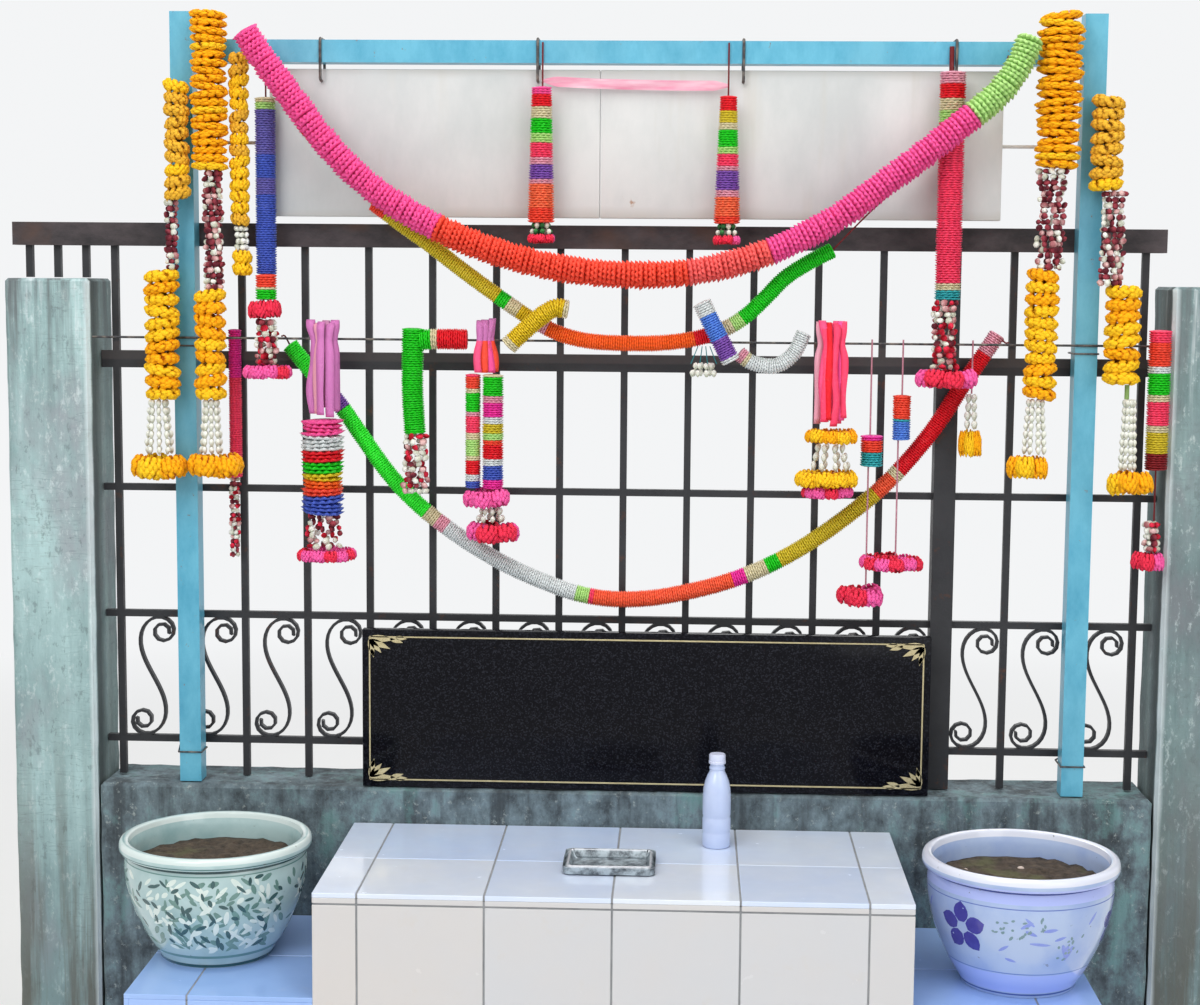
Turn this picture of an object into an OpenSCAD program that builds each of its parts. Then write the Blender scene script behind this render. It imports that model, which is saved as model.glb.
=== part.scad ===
// A roadside shrine front: a tiled altar with two lower side ledges stands before a low
// wall between two piers. An iron fence stands on the wall, and a blue steel frame tied to
// it carries a bare sign board, a hanging wire and the flower and ribbon garlands.
// Millimetres, +Z up, origin on the ground at the middle of the footprint, front to -Y.

/* [Masonry] */
// Distance between the centres of the two piers
pier_spacing = 2000; // [1800:10:2200]
// Side of each square pier
pier_w = 150; // [120:5:170]
// Height of the piers
pier_h = 1552; // [1480:2:1590]
// Height of the low wall
wall_h = 665; // [640:5:690]
// Thickness of the low wall
wall_t = 150; // [130:5:180]

/* [Altar] */
// Width of the altar over its tiles
altar_w = 940; // [840:10:1000]
// Depth of the altar from its front to the wall
altar_d = 420; // [380:5:460]
// Height of the altar top
altar_h = 600; // [560:5:630]
// Width of each side ledge
ledge_w = 300; // [260:5:340]
// Height of the side ledges
ledge_h = 430; // [400:5:470]
// Thickness of the glazed tiles with their bedding
tile_t = 8; // [6:1:12]

/* [Fence] */
// Thickness of the bars, rails and scrolls, front to back
bar_d = 12; // [10:1:16]
// Width of an upright bar
bar_w = 12; // [8:1:16]
// Distance between the middles of two bars
bar_pitch = 112; // [104:1:120]
// Underside of the fence's top rail above the ground
top_rail_z = 1608; // [1600:2:1640]
// Height of the top rail
top_rail_h = 40; // [30:2:50]
// Depth of the top rail and side of the intermediate post
top_rail_d = 38; // [30:2:50]
// Centre of the intermediate post, right of the middle
fence_post_x = 557; // [500:5:600]
// Height of the broad second rail
second_rail_h = 30; // [20:2:40]
// Width of the flat iron that the scrolls are bent from
scroll_t = 5; // [4:0.5:6]

/* [Garland frame] */
// Side of the square steel tube
tube_w = 38; // [30:2:44]
// Wall of the square steel tube
tube_wall = 2; // [1.5:0.5:3]
// Distance from a pier's middle to the nearer frame post, were the frame in the middle
frame_inset = 225; // [210:5:240]
// How far the frame stands to the right of the middle
frame_shift = 11; // [0:1:20]
// Top of the frame posts above the ground
frame_h = 2005; // [1995:5:2040]
// How far the cross beam sits below the post tops
beam_drop = 47; // [30:1:60]

/* [Sign board] */
// Gap between each end of the bare sign board and the frame post beside it
sign_side_gap = 131; // [100:1:160]
// Height of the sign board
sign_h = 250; // [200:5:262]
// Thickness of the sign board
sign_t = 18; // [12:1:20]
// Gap between the beam and the sign board
sign_gap = 10; // [6:1:16]
// Diameter of the wire that the board hangs from
hook_d = 5; // [4:0.5:6]

/* [Name plaque] */
// Width of the polished granite plaque
plaque_w = 990; // [900:10:1040]
// Height of the plaque
plaque_h = 280; // [240:5:300]
// Thickness of the plaque
plaque_t = 20; // [15:1:25]
// How far the plaque stands to the right of the middle
plaque_shift = 40; // [0:5:60]

/* [Pots and offerings] */
// Rim diameter of the left pot
left_pot_d = 318; // [280:2:340]
// Height of the left pot
left_pot_h = 200; // [180:5:225]
// Rim diameter of the right pot
right_pot_d = 316; // [280:2:330]
// Height of the right pot
right_pot_h = 210; // [180:5:225]
// Wall of the pots
pot_wall = 10; // [8:1:14]
// Depth of the soil's surface below the rim
soil_drop = 38; // [25:1:60]
// Diameter of the plastic bottle
bottle_d = 48; // [40:1:60]
// Height of the bottle to the top of its cap
bottle_h = 160; // [140:5:200]
// Width of the offering tray
tray_w = 150; // [120:5:180]
// Depth of the offering tray, front to back
tray_d = 115; // [90:5:130]
// Height of the tray's rim
tray_h = 16; // [12:1:24]

/* [Garlands] */
// Diameter of the wire that the ribbons hang from
wire_d = 4; // [3:0.5:6]
// How far the hanging wire is below the tops of the frame posts
wire_drop = 555; // [545:5:570]
// Radius of the thick ruffled upper swag
upper_swag_r = 23; // [18:1:26]
// Radius of the middle swag
middle_swag_r = 15; // [11:1:16]
// Radius of the lower swag
lower_swag_r = 16; // [12:1:18]

/* [Hidden] */

// Clearance between a soft piece and what it hangs on
soft_gap = 0.3;
// Clearance of a wire in its hole and round a tube
wire_gap = 0.75;
// Clearance between parts that are only laid in each other
fit_gap = 0.3;

// Planes of the masonry, front to back
total_d = altar_d + wall_t;
front_y = -total_d / 2;
back_y = total_d / 2;
wall_front = back_y - wall_t;
wall_mid = back_y - wall_t / 2;
inner_x = (pier_spacing - pier_w) / 2;
outer_x = (pier_spacing + pier_w) / 2;

// Planes of the fence and of the frame that is tied to its face
fence_top = top_rail_z + top_rail_h;
rail_front = wall_mid - top_rail_d / 2;
frame_half = pier_spacing / 2 - frame_inset;
frame_y = rail_front - tube_w / 2;
frame_front = rail_front - tube_w;
left_post_x = frame_shift - frame_half;
right_post_x = frame_shift + frame_half;
beam_top = frame_h - beam_drop;
beam_z = beam_top - tube_w;
wire_z = frame_h - wire_drop;
sign_w = 2 * (frame_half - tube_w / 2 - sign_side_gap);
sign_top = beam_z - sign_gap;
sign_z = sign_top - sign_h;
sign_front = frame_y - sign_t / 2;
wire_y = frame_front - wire_d / 2 - soft_gap;
wire_front = wire_y - wire_d / 2;

// Centre heights of the fence's thin rails, shared out between the wall and the second rail
second_rail_z = top_rail_z - 198;
low_rail_z = wall_h + 65;
rail_step = (second_rail_z - low_rail_z) / 3;
thin_rails = [low_rail_z, low_rail_z + rail_step, low_rail_z + 2 * rail_step];

// Where the four hooks hold the sign board, from the board's middle, as shares of its width
hook_xs = [for (share = [-0.428, -0.131, 0.148, 0.434]) share * sign_w];
hook_hole_drop = 20;
hook_bend_r = 6;

function unit(v) = v / norm(v);
function tangent(path, k) =
    unit(path[min(k + 1, len(path) - 1)] - path[max(k - 1, 0)]);
function loop_tangent(path, k) =
    unit(path[(k + 1) % len(path)] - path[(k + len(path) - 1) % len(path)]);
function ring(centre, along, radius, side, sides) =
    let (a = unit(side - along * (side * along)), b = cross(along, a))
    [for (i = [0:sides - 1]) centre + radius * (cos(360 * i / sides) * a + sin(360 * i / sides) * b)];

// A tube swept along a route, with one radius for each point of the route
module sweep(path, radii, side, sides) {
    last = len(path) - 1;
    points = [for (k = [0:last]) each ring(path[k], tangent(path, k), radii[k], side, sides)];
    walls = [for (k = [0:last - 1]) for (i = [0:sides - 1])
        let (j = (i + 1) % sides)
        each [[k * sides + i, (k + 1) * sides + j, k * sides + j],
              [k * sides + i, (k + 1) * sides + i, (k + 1) * sides + j]]];
    first_cap = [for (i = [0:sides - 1]) i];
    last_cap = [for (i = [sides - 1:-1:0]) last * sides + i];
    polyhedron(points, concat(walls, [first_cap, last_cap]));
}

// A wire bent into a closed loop
module closed_wire(path, radius, side, sides = 8) {
    count = len(path);
    points = [for (k = [0:count - 1]) each ring(path[k], loop_tangent(path, k), radius, side, sides)];
    walls = [for (k = [0:count - 1]) for (i = [0:sides - 1])
        let (j = (i + 1) % sides, m = (k + 1) % count)
        each [[k * sides + i, m * sides + j, k * sides + j],
              [k * sides + i, m * sides + i, m * sides + j]]];
    polyhedron(points, walls);
}

// A box given by its low and high corners
module block(low, high) translate(low) cube(high - low);

module left_pier() { pier(-1); }
module right_pier() { pier(1); }
module pier(side) {
    color("#b9c9c4") translate([side * pier_spacing / 2 - pier_w / 2, wall_mid - pier_w / 2, 0])
        cube([pier_w, pier_w, pier_h]);
}

module low_wall() {
    color("#5f6c68") block([-inner_x, wall_front, 0], [inner_x, back_y, wall_h]);
}

module altar_block() {
    color("#a9a59b") block([-altar_w / 2 + tile_t, front_y + tile_t, 0],
                           [altar_w / 2 - tile_t, wall_front, altar_h - tile_t]);
}

module altar_top_tiling() {
    color("#dfe3f4") block([-altar_w / 2, front_y, altar_h - tile_t], [altar_w / 2, wall_front, altar_h]);
}

module altar_front_tiling() {
    color("#eceaf2") block([-altar_w / 2, front_y, 0], [altar_w / 2, front_y + tile_t, altar_h - tile_t]);
}

module altar_side_tiling() {
    color("#e2e4f0") for (side = [0, 1]) mirror([side, 0, 0])
        block([altar_w / 2 - tile_t, front_y + tile_t, 0], [altar_w / 2, wall_front, altar_h - tile_t]);
}

module left_ledge() mirror([1, 0, 0]) ledge_core();
module right_ledge() ledge_core();
module ledge_core() {
    color("#a9a59b") block([altar_w / 2, front_y + tile_t, 0],
                           [altar_w / 2 + ledge_w - tile_t, wall_front, ledge_h - tile_t]);
}

module left_ledge_tiling() mirror([1, 0, 0]) ledge_skin();
module right_ledge_tiling() ledge_skin();
module ledge_skin() {
    color("#c9d3f5") difference() {
        block([altar_w / 2, front_y, 0], [altar_w / 2 + ledge_w, wall_front, ledge_h]);
        block([altar_w / 2 - 1, front_y + tile_t, -1],
              [altar_w / 2 + ledge_w - tile_t, wall_front + 1, ledge_h - tile_t]);
    }
}

plaque_y = wall_front + 3;
module name_plaque() {
    color("#15151a") block([plaque_shift - plaque_w / 2, plaque_y, wall_h],
                           [plaque_shift + plaque_w / 2, plaque_y + plaque_t, wall_h + plaque_h]);
}

module fence_top_rail() {
    color("#6c6560") block([-outer_x, rail_front, top_rail_z], [inner_x, rail_front + top_rail_d, fence_top]);
}

module fence_post() {
    color("#2b2a2c") translate([fence_post_x - top_rail_d / 2, rail_front, wall_h])
        cube([top_rail_d, top_rail_d, top_rail_z - wall_h]);
}

// Centre line of half a scroll: it leans away at first, then winds in to its eye
scroll_lean = 28;
scroll_turn = 590;
scroll_power = 2.2;
scroll_steps = 26;
function scroll_angle(u) = 90 + scroll_lean - scroll_turn * pow(u, scroll_power);
function heading(a) = [cos(a), sin(a)];
function scroll_walk(k) = k == 0 ? [0, 0]
    : scroll_walk(k - 1) + heading(scroll_angle((k - 0.5) / scroll_steps));
scroll_raw = [for (k = [0:scroll_steps]) scroll_walk(k)];
scroll_reach = max([for (p = scroll_raw) p[1]]);

// A flat bar bent into an S about its middle, one eye up to the right and one down to the left
module s_scroll(height) {
    size = (height - scroll_t) / 2 / scroll_reach;
    half = [for (k = [0:scroll_steps])
        let (n = heading(scroll_angle(k / scroll_steps) + 90) * scroll_t / 2, p = scroll_raw[k] * size)
        [p - n, p + n]];
    right_up = [for (e = half) e[0]];
    left_down = [for (k = [scroll_steps:-1:1]) half[k][1]];
    polygon(concat(right_up, left_down, -right_up, -left_down));
}

// One bay as a flat drawing, from the post towards the pier on one side: bars, four rails and
// a scroll in each gap of the lowest band, let a little into the rails that it is welded to
weld = 1;
end_gap = 15;
post_half = top_rail_d / 2;
module bay_drawing(side) {
    room = inner_x - side * fence_post_x;
    count = floor((room - bar_w / 2 - end_gap) / bar_pitch);
    start = side < 0 ? -inner_x : fence_post_x + post_half;
    for (k = [1:count]) translate([fence_post_x + side * k * bar_pitch - bar_w / 2, wall_h])
        square([bar_w, top_rail_z - wall_h]);
    for (z = thin_rails) translate([start, z - bar_w / 2]) square([room - post_half, bar_w]);
    translate([start, second_rail_z - second_rail_h / 2]) square([room - post_half, second_rail_h]);
    for (k = [1:count]) {
        gap_middle = k == 1 ? (post_half + bar_pitch - bar_w / 2) / 2 : (k - 0.5) * bar_pitch;
        translate([fence_post_x + side * gap_middle, (thin_rails[0] + thin_rails[1]) / 2])
            s_scroll(rail_step - bar_w + 2 * weld);
    }
}

module fence_wide_panel() {
    color("#2f2e31") translate([0, wall_mid + bar_d / 2, 0]) rotate([90, 0, 0])
        linear_extrude(bar_d) bay_drawing(-1);
}

module fence_narrow_panel() {
    color("#2f2e31") translate([0, wall_mid + bar_d / 2, 0]) rotate([90, 0, 0])
        linear_extrude(bar_d) bay_drawing(1);
}

picket_pitch = 50;
module pier_top_pickets() {
    color("#2f2e31") for (k = [-1:1])
        block([-pier_spacing / 2 + k * picket_pitch - bar_w / 2, wall_mid - bar_d / 2, pier_h],
              [-pier_spacing / 2 + k * picket_pitch + bar_w / 2, wall_mid + bar_d / 2, top_rail_z]);
}

module left_frame_post() frame_post(left_post_x);
module right_frame_post() frame_post(right_post_x);
module frame_post(x) {
    color("#8fd0e8") difference() {
        block([x - tube_w / 2, frame_front, wall_h], [x + tube_w / 2, rail_front, frame_h]);
        block([x - tube_w / 2 + tube_wall, frame_front + tube_wall, wall_h - 1],
              [x + tube_w / 2 - tube_wall, rail_front - tube_wall, frame_h - tube_wall]);
    }
}

module frame_beam() {
    color("#8fd0e8") difference() {
        block([left_post_x + tube_w / 2, frame_front, beam_z],
              [right_post_x - tube_w / 2, rail_front, beam_top]);
        block([left_post_x, frame_front + tube_wall, beam_z + tube_wall],
              [right_post_x, rail_front - tube_wall, beam_top - tube_wall]);
    }
}

// A wire bent round a frame post and round the fence bar nearest to it
tie_r = 1.5;
low_tie_drop = 6;
high_tie_lift = 11;
function nearest_bar(x) = fence_post_x + bar_pitch * round((x - fence_post_x) / bar_pitch);
module post_tie(x, z) {
    off = abs(nearest_bar(x) - x);
    room = tie_r + fit_gap;
    side = tube_w / 2 + room;
    far = off + bar_w / 2 + room;
    bar_back = wall_mid + bar_d / 2 + room;
    translate([x, 0, z]) mirror([nearest_bar(x) > x ? 1 : 0, 0, 0]) closed_wire([
        [-side, frame_front - room, 0], [side, frame_front - room, 0], [side, rail_front, 0],
        [bar_w / 2 + room - off, bar_back, 0], [-far, bar_back, 0], [-max(far, side), wall_mid - bar_d / 2, 0]
    ], tie_r, [0, 0, 1]);
}

module post_ties() {
    low = thin_rails[0] - bar_w / 2 - low_tie_drop;
    high = second_rail_z + second_rail_h / 2 + high_tie_lift;
    color("#4a4f54") for (z = [low, high]) for (x = [left_post_x, right_post_x]) post_tie(x, z);
}

module garland_wire() {
    color("#50565a") translate([-inner_x, wire_y, wire_z]) rotate([0, 90, 0])
        cylinder(h = 2 * inner_x, d = wire_d, $fn = 32);
}

module sign_board() {
    color("#e9e9e6") difference() {
        block([frame_shift - sign_w / 2, sign_front, sign_z],
              [frame_shift + sign_w / 2, sign_front + sign_t, sign_top]);
        for (x = hook_xs) translate([frame_shift + x, sign_front - 1, sign_top - hook_hole_drop])
            rotate([-90, 0, 0]) cylinder(h = sign_t + 2, d = hook_d + 2 * wire_gap, $fn = 32);
    }
}

// Corner points of a rounded frame in the YZ plane
function bent_frame(half_w, low, high, r) = [
    for (c = [[1, high, 0], [-1, high, 90], [-1, low, 180], [1, low, 270]])
    for (i = [0:3])
        let (a = c[2] + 30 * i, cz = c[1] == high ? high - r : low + r)
        [0, c[0] * (half_w - r) + r * cos(a), cz + r * sin(a)]
];

module sign_hooks() {
    half = tube_w / 2 + fit_gap + hook_d / 2;
    color("#3a3d40") for (x = hook_xs) translate([frame_shift + x, frame_y, 0])
        closed_wire(bent_frame(half, sign_top - hook_hole_drop, beam_top + fit_gap + hook_d / 2, hook_bend_r),
                    hook_d / 2, [1, 0, 0]);
}

side_tie_d = 6;
side_tie_drop = 125;
module sign_side_ties() {
    color("#d9dcda") for (x = [left_post_x + tube_w / 2, frame_shift + sign_w / 2])
        translate([x, frame_y, sign_top - side_tie_drop]) rotate([0, 90, 0])
            cylinder(h = sign_side_gap, d = side_tie_d, $fn = 24);
}

// Half the section of a pot, as shares of the rim's radius and of the height
pot_outer = [[0.58, 0], [0.60, 0.04], [0.70, 0.16], [0.80, 0.32], [0.88, 0.48], [0.93, 0.64], [0.945, 0.78],
             [0.93, 0.86], [0.925, 0.885], [0.985, 0.90], [1, 0.935], [0.995, 0.975], [0.965, 1]];
module pot(d, h) {
    r = d / 2;
    outside = [for (p = pot_outer) [p[0] * r, p[1] * h]];
    inside = [[0.90 * r, h], [0.90 * r - 4, 0.955 * h], [0.925 * r - pot_wall, 0.88 * h],
              [0.93 * r - pot_wall, 0.64 * h], [0.80 * r - pot_wall, 0.32 * h],
              [0.62 * r - pot_wall, 1.6 * pot_wall], [0, 1.6 * pot_wall]];
    rotate_extrude($fn = 72) polygon(concat([[0, 0]], outside, inside));
}

// Soil that fills the pot's wide part up to a level below its rim
module soil(d, h) {
    r = d / 2;
    level = h - soil_drop;
    foot = 0.64 * h;
    rotate_extrude($fn = 72) polygon([
        [0, foot], [0.93 * r - pot_wall - fit_gap, foot],
        [0.926 * r - pot_wall - fit_gap, level], [0, level]]);
}

left_pot_at = [-670, -65];
right_pot_at = [655, -125];
module left_pot() {
    color("#a8c4ba") translate([left_pot_at[0], left_pot_at[1], ledge_h]) pot(left_pot_d, left_pot_h);
}
module right_pot() {
    color("#b9c6ec") translate([right_pot_at[0], right_pot_at[1], ledge_h]) pot(right_pot_d, right_pot_h);
}
module pot_soil() {
    color("#5b4636") {
        translate([left_pot_at[0], left_pot_at[1], ledge_h]) soil(left_pot_d, left_pot_h);
        translate([right_pot_at[0], right_pot_at[1], ledge_h]) soil(right_pot_d, right_pot_h);
    }
}

bottle_at = [166, 27];
cap_h = 16;
cap_r = bottle_d * 0.3;
module bottle() {
    r = bottle_d / 2;
    shoulder = bottle_h * 0.66;
    top = bottle_h - cap_h;
    color("#c8d4f2") translate([bottle_at[0], bottle_at[1], altar_h]) rotate_extrude($fn = 48) polygon([
        [0, 0], [r - 3, 0], [r, 3], [r, shoulder - 14], [r * 0.94, shoulder], [r * 0.55, shoulder + 20],
        [r * 0.5, shoulder + 28], [r * 0.5, top], [0, top]]);
}

module bottle_cap() {
    color("#f2f4fb") translate([bottle_at[0], bottle_at[1], altar_h + bottle_h - cap_h])
        rotate_extrude($fn = 48)
            polygon([[0, 0], [cap_r, 0], [cap_r, cap_h - 2], [cap_r - 2, cap_h], [0, cap_h]]);
}

module rounded_sheet(w, d, r) {
    square([w - 2 * r, d], center = true);
    square([w, d - 2 * r], center = true);
    for (sx = [-1, 1]) for (sy = [-1, 1]) translate([sx * (w / 2 - r), sy * (d / 2 - r)]) circle(r, $fn = 32);
}

tray_at = [-10, -107];
tray_wall = 3;
tray_r = 14;
module offering_tray() {
    color("#3b3f4a") translate([tray_at[0], tray_at[1], altar_h]) difference() {
        linear_extrude(tray_h) rounded_sheet(tray_w, tray_d, tray_r);
        translate([0, 0, tray_wall]) linear_extrude(tray_h)
            rounded_sheet(tray_w - 2 * tray_wall, tray_d - 2 * tray_wall, tray_r - tray_wall);
    }
}

// Routes of the three long swags, each point so far right of the frame's middle and so far
// below what the swag hangs from; each swag lies in an upright plane of its own
string_r = 1.5;
knot_r = 4;
hook_front = frame_front - fit_gap - hook_d;
upper_swag_y = 85;
middle_swag_y = 125;
lower_swag_y = 182;
over_beam = beam_top + soft_gap + string_r;
over_wire = wire_z + wire_d / 2 + soft_gap + string_r;
beam_face = frame_front - soft_gap - string_r;

upper_route = [
    [-651, 40], [-621, 85], [-575, 146], [-525, 212], [-474, 267], [-421, 311], [-356, 350], [-289, 382],
    [-216, 408], [-141, 427], [-61, 438], [19, 441], [99, 436], [184, 417], [265, 386], [347, 341],
    [421, 286], [486, 237], [550, 185], [604, 139], [637, 92], [655, 48]
];
middle_route = [
    [-441, 323], [-396, 356], [-344, 393], [-293, 432], [-242, 469], [-199, 499], [-161, 523], [-119, 543],
    [-70, 554], [-11, 557], [49, 556], [109, 548], [159, 531], [194, 509], [227, 478], [260, 444],
    [301, 417], [339, 397]
];
lower_route = [
    [-597, 12], [-562, 55], [-511, 114], [-466, 178], [-422, 238], [-373, 289], [-317, 333], [-264, 368],
    [-211, 397], [-156, 421], [-96, 442], [-34, 452], [34, 450], [104, 437], [169, 419], [236, 392],
    [305, 353], [374, 303], [439, 247], [492, 188], [536, 128], [575, 65], [611, 10], [628, -17]
];

// Half the frame's width that the routes are drawn for; a wider frame stretches them
route_half = 775;
function at_frame(x) = frame_shift + x * frame_half / route_half;
function hung(route, top, y) = [for (p = route) [at_frame(p[0]), y, top - p[1]]];

// One swag: its bare end strings run into the thick stretch
module swag(route, ends, radius, first_string_r = string_r) {
    path = concat(ends[0], route, ends[1]);
    radii = concat([for (p = ends[0]) first_string_r],
                   [for (p = route) radius], [for (p = ends[1]) string_r]);
    sweep(path, radii, [0, 1, 0.15], 10);
}

module upper_swag() {
    color("#f0558c") swag(hung(upper_route, frame_h, upper_swag_y), [
        [[at_frame(-645), frame_y, over_beam], [at_frame(-652), 125, over_beam + 6]],
        [[at_frame(658), 125, over_beam + 6], [at_frame(663), frame_y, over_beam]]
    ], upper_swag_r);
}

module middle_swag() {
    color("#e8a02c") swag(hung(middle_route, frame_h, middle_swag_y), [
        [[at_frame(-645), beam_face - knot_r + string_r, frame_h - 62], [at_frame(-610), 138, frame_h - 135],
         [at_frame(-545), 132, frame_h - 218], [at_frame(-480), 128, frame_h - 281]],
        [[at_frame(409), 130, frame_h - 325], [at_frame(549), 138, frame_h - 195],
         [at_frame(614), 146, frame_h - 115], [at_frame(629), beam_face, frame_h - 70]]
    ], middle_swag_r, knot_r);
}

module lower_swag() {
    color("#e05030") swag(hung(lower_route, wire_z, lower_swag_y), [
        [[at_frame(-605), wire_y, over_wire], [at_frame(-603), 168, over_wire]],
        [[at_frame(639), 168, over_wire], [at_frame(642), wire_y, over_wire]]
    ], lower_swag_r);
}

// Half sections of what is threaded on a hanging string, each from z = 0 up to h
bead_pitch = 15;
flower_pitch = 22;
ring_pitch = 16;
function bumpy(h, r, waist, pitch) =
    let (n = max(1, round(h / pitch)), p = h / n)
    [for (k = [0:n - 1]) each [[waist * r, k * p], [r, (k + 0.3) * p], [r, (k + 0.7) * p]]];
function section(kind, h, r) =
    kind == "flowers" ? concat(bumpy(h, r, 0.82, flower_pitch), [[0.82 * r, h]])
    : kind == "rings" ? concat(bumpy(h, r, 0.88, ring_pitch), [[0.88 * r, h]])
    : kind == "beads" ? concat(bumpy(h, r, 0.6, bead_pitch), [[0.6 * r, h]])
    : kind == "tassel" ? [[r, 0], [0.85 * r, h / 2], [0.5 * r, h]]
    : kind == "rim" ? [[0.6 * r, 0], [r, h / 3], [r, 2 * h / 3], [0.5 * r, h]]
    : kind == "ribbon" ? [[r, 0], [0.85 * r, h / 2], [0.9 * r, 0.85 * h], [0.6 * r, h]]
    : [[r, 0], [r, h]];

// A row of threaded pieces, each [kind, how far right of the anchor, top and bottom below it,
// radius], on one string that hangs in front of a plane so that a piece of the radius reach
// just clears it
module strand(anchor, pieces, plane, reach) {
    for (p = pieces) {
        h = p[3] - p[2] - soft_gap;
        translate([anchor[0] + p[1], plane - soft_gap - reach, anchor[1] - p[3]])
            rotate_extrude($fn = 40) polygon(concat([[0, 0]], section(p[0], h, p[4]), [[0, h]]));
    }
}

left_post_top = [left_post_x, frame_h];
right_post_top = [right_post_x, frame_h];
wire_left = [left_post_x, wire_z];
wire_right = [right_post_x, wire_z];
wire_end = [inner_x, wire_z];

module left_outer_garland() {
    color("#e9a411") strand(left_post_top, [
        ["flowers", -1, 119, 320, 23], ["beads", -12, 320, 439, 15], ["flowers", -31, 439, 661, 32],
        ["tassel", -39, 661, 755, 28], ["rim", -39, 755, 799, 50]], frame_front, 32);
}

module left_inner_garland() {
    color("#f0a818") {
        strand(left_post_top, [
            ["flowers", 55, 3, 270, 32], ["beads", 60, 270, 472, 21], ["flowers", 52, 472, 660, 29],
            ["tassel", 52, 660, 754, 23], ["rim", 60, 754, 797, 50]], frame_front, 32);
        strand(left_post_top, [["flowers", 103, 71, 362, 18], ["rim", 106, 362, 447, 20]], frame_front, 18);
    }
}

module right_inner_garland() {
    color("#f0a818") strand(right_post_top, [
        ["flowers", -66, 3, 259, 39], ["beads", -73, 259, 427, 29], ["flowers", -84, 427, 645, 29],
        ["tassel", -90, 645, 738, 25], ["rim", -100, 738, 781, 36]], frame_front, 39);
}

module right_outer_garland() {
    color("#d8941a") strand(right_post_top, [
        ["flowers", 17, 139, 295, 29], ["beads", 31, 295, 453, 25], ["flowers", 53, 453, 619, 33],
        ["string", 64, 619, 644, knot_r], ["tassel", 69, 644, 765, 18], ["rim", 75, 765, 808, 40]
    ], frame_front, 33);
}

module left_blue_garland() {
    color("#4a5fc0") {
        strand(left_post_top, [["string", 146, 55, 145, string_r]], frame_front, string_r);
        strand(left_post_top, [["tube", 146, 145, 445, 18.5]], sign_front, 18.5);
        strand(left_post_top, [
            ["rings", 149, 445, 488, 19], ["rim", 147, 488, 522, 30], ["beads", 149, 522, 599, 24],
            ["rim", 150, 599, 625, 43]], wire_front, 24);
    }
}

module right_red_garland() {
    color("#ea2f4e") {
        strand(right_post_top, [["string", -241, 55, 99, knot_r]], frame_front, knot_r);
        strand(right_post_top, [["tube", -241, 99, 479, 23]], hook_front, 23);
        strand(right_post_top, [["beads", -246, 479, 596, 27], ["rim", -240, 596, 630, 54]], wire_front, 36);
    }
}

// How far right of the frame's middle and below the beam's top each ring stack hangs
sign_stacks = [[-155, 80], [160, 94]];
sash_w = 18;
sash_t = 1;
module sign_garlands() {
    color("#f06a8a") for (s = sign_stacks) {
        beam_edge = [frame_shift + s[0], beam_top];
        strand(beam_edge, [["string", 0, 3, s[1], knot_r]], frame_front, knot_r);
        strand(beam_edge, [["rings", 0, s[1], 307, 22], ["tassel", 0, 307, 334, 24]], hook_front, 22);
    }
    // The sheer sash between the two strings sags a little to the right
    edge = [[-155, 68], [-75, 72], [0, 74], [80, 75], [160, 75]];
    color("#f7a8c4") translate([frame_shift, frame_front - soft_gap - knot_r + sash_t / 2, beam_top])
        rotate([90, 0, 0]) linear_extrude(sash_t) polygon(concat(
            [for (p = edge) [p[0], sash_w / 2 - p[1]]],
            [for (k = [len(edge) - 1:-1:0]) [edge[k][0], -sash_w / 2 - edge[k][1]]]));
}

module ribbon_bunches() {
    color("#ee4fa6") {
        strand(wire_left, [
            ["ribbon", 249, -34, 137, 30], ["rings", 245, 137, 301, 39], ["beads", 245, 301, 361, 36],
            ["rim", 251, 361, 384, 52]], wire_front, 27);
        strand(wire_left, [["ribbon", 526, -39, 57, 21], ["rings", 504, 57, 254, 14]], wire_front, 18.2);
        strand(wire_left, [
            ["rings", 539, 57, 254, 19], ["rim", 530, 254, 287, 43], ["tassel", 536, 287, 312, 30],
            ["rim", 541, 312, 349, 48]], wire_front, 25);
        strand(wire_right, [
            ["ribbon", -434, -41, 145, 30], ["rim", -432, 145, 170, 46], ["tassel", -433, 170, 216, 40],
            ["rim", -439, 216, 264, 55]], wire_front, 27);
    }
}

// A short stiff tube laid over or in front of the wire, its route given as a swag's is
module short_tube(anchor, route, y, radius) {
    path = [for (p = route) [anchor[0] + p[0], y, anchor[1] - p[1]]];
    sweep(path, [for (p = route) radius], [0, 1, 0.1], 10);
}

loop_r = 20;
white_r = 14;
cross_r = 17;
bud_fringe_r = 30;
cross_y = middle_swag_y - middle_swag_r - soft_gap - cross_r;
module looped_tubes() {
    color("#3fc24b") {
        short_tube(wire_left, [[494, -2], [464, -3], [432, -2], [410, 10], [400, 35], [400, 90], [404, 160]],
                   wire_front - soft_gap - loop_r, loop_r);
        strand(wire_left, [["tassel", 404, 160, 264, 28]], wire_front, loop_r);
    }
    color("#eef0f4") short_tube(wire_right, [[-591, 18], [-567, 34], [-528, 38], [-498, 17], [-481, -18]],
                                wire_front - soft_gap - white_r, white_r);
    color("#5a8cf0") short_tube([frame_shift, wire_z], [[119, -69], [136, -34], [154, 0], [170, 30]],
                                cross_y, cross_r);
    color("#e2b81e") short_tube([frame_shift, wire_z],
                                [[-208, 8], [-182, -17], [-152, -43], [-128, -57], [-106, -55]],
                                cross_y, cross_r);
    color("#f2f2ea") strand([frame_shift, wire_z], [["tassel", 124, 6, 58, bud_fringe_r]],
                            middle_swag_y + soft_gap + bud_fringe_r, bud_fringe_r);
}

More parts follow.
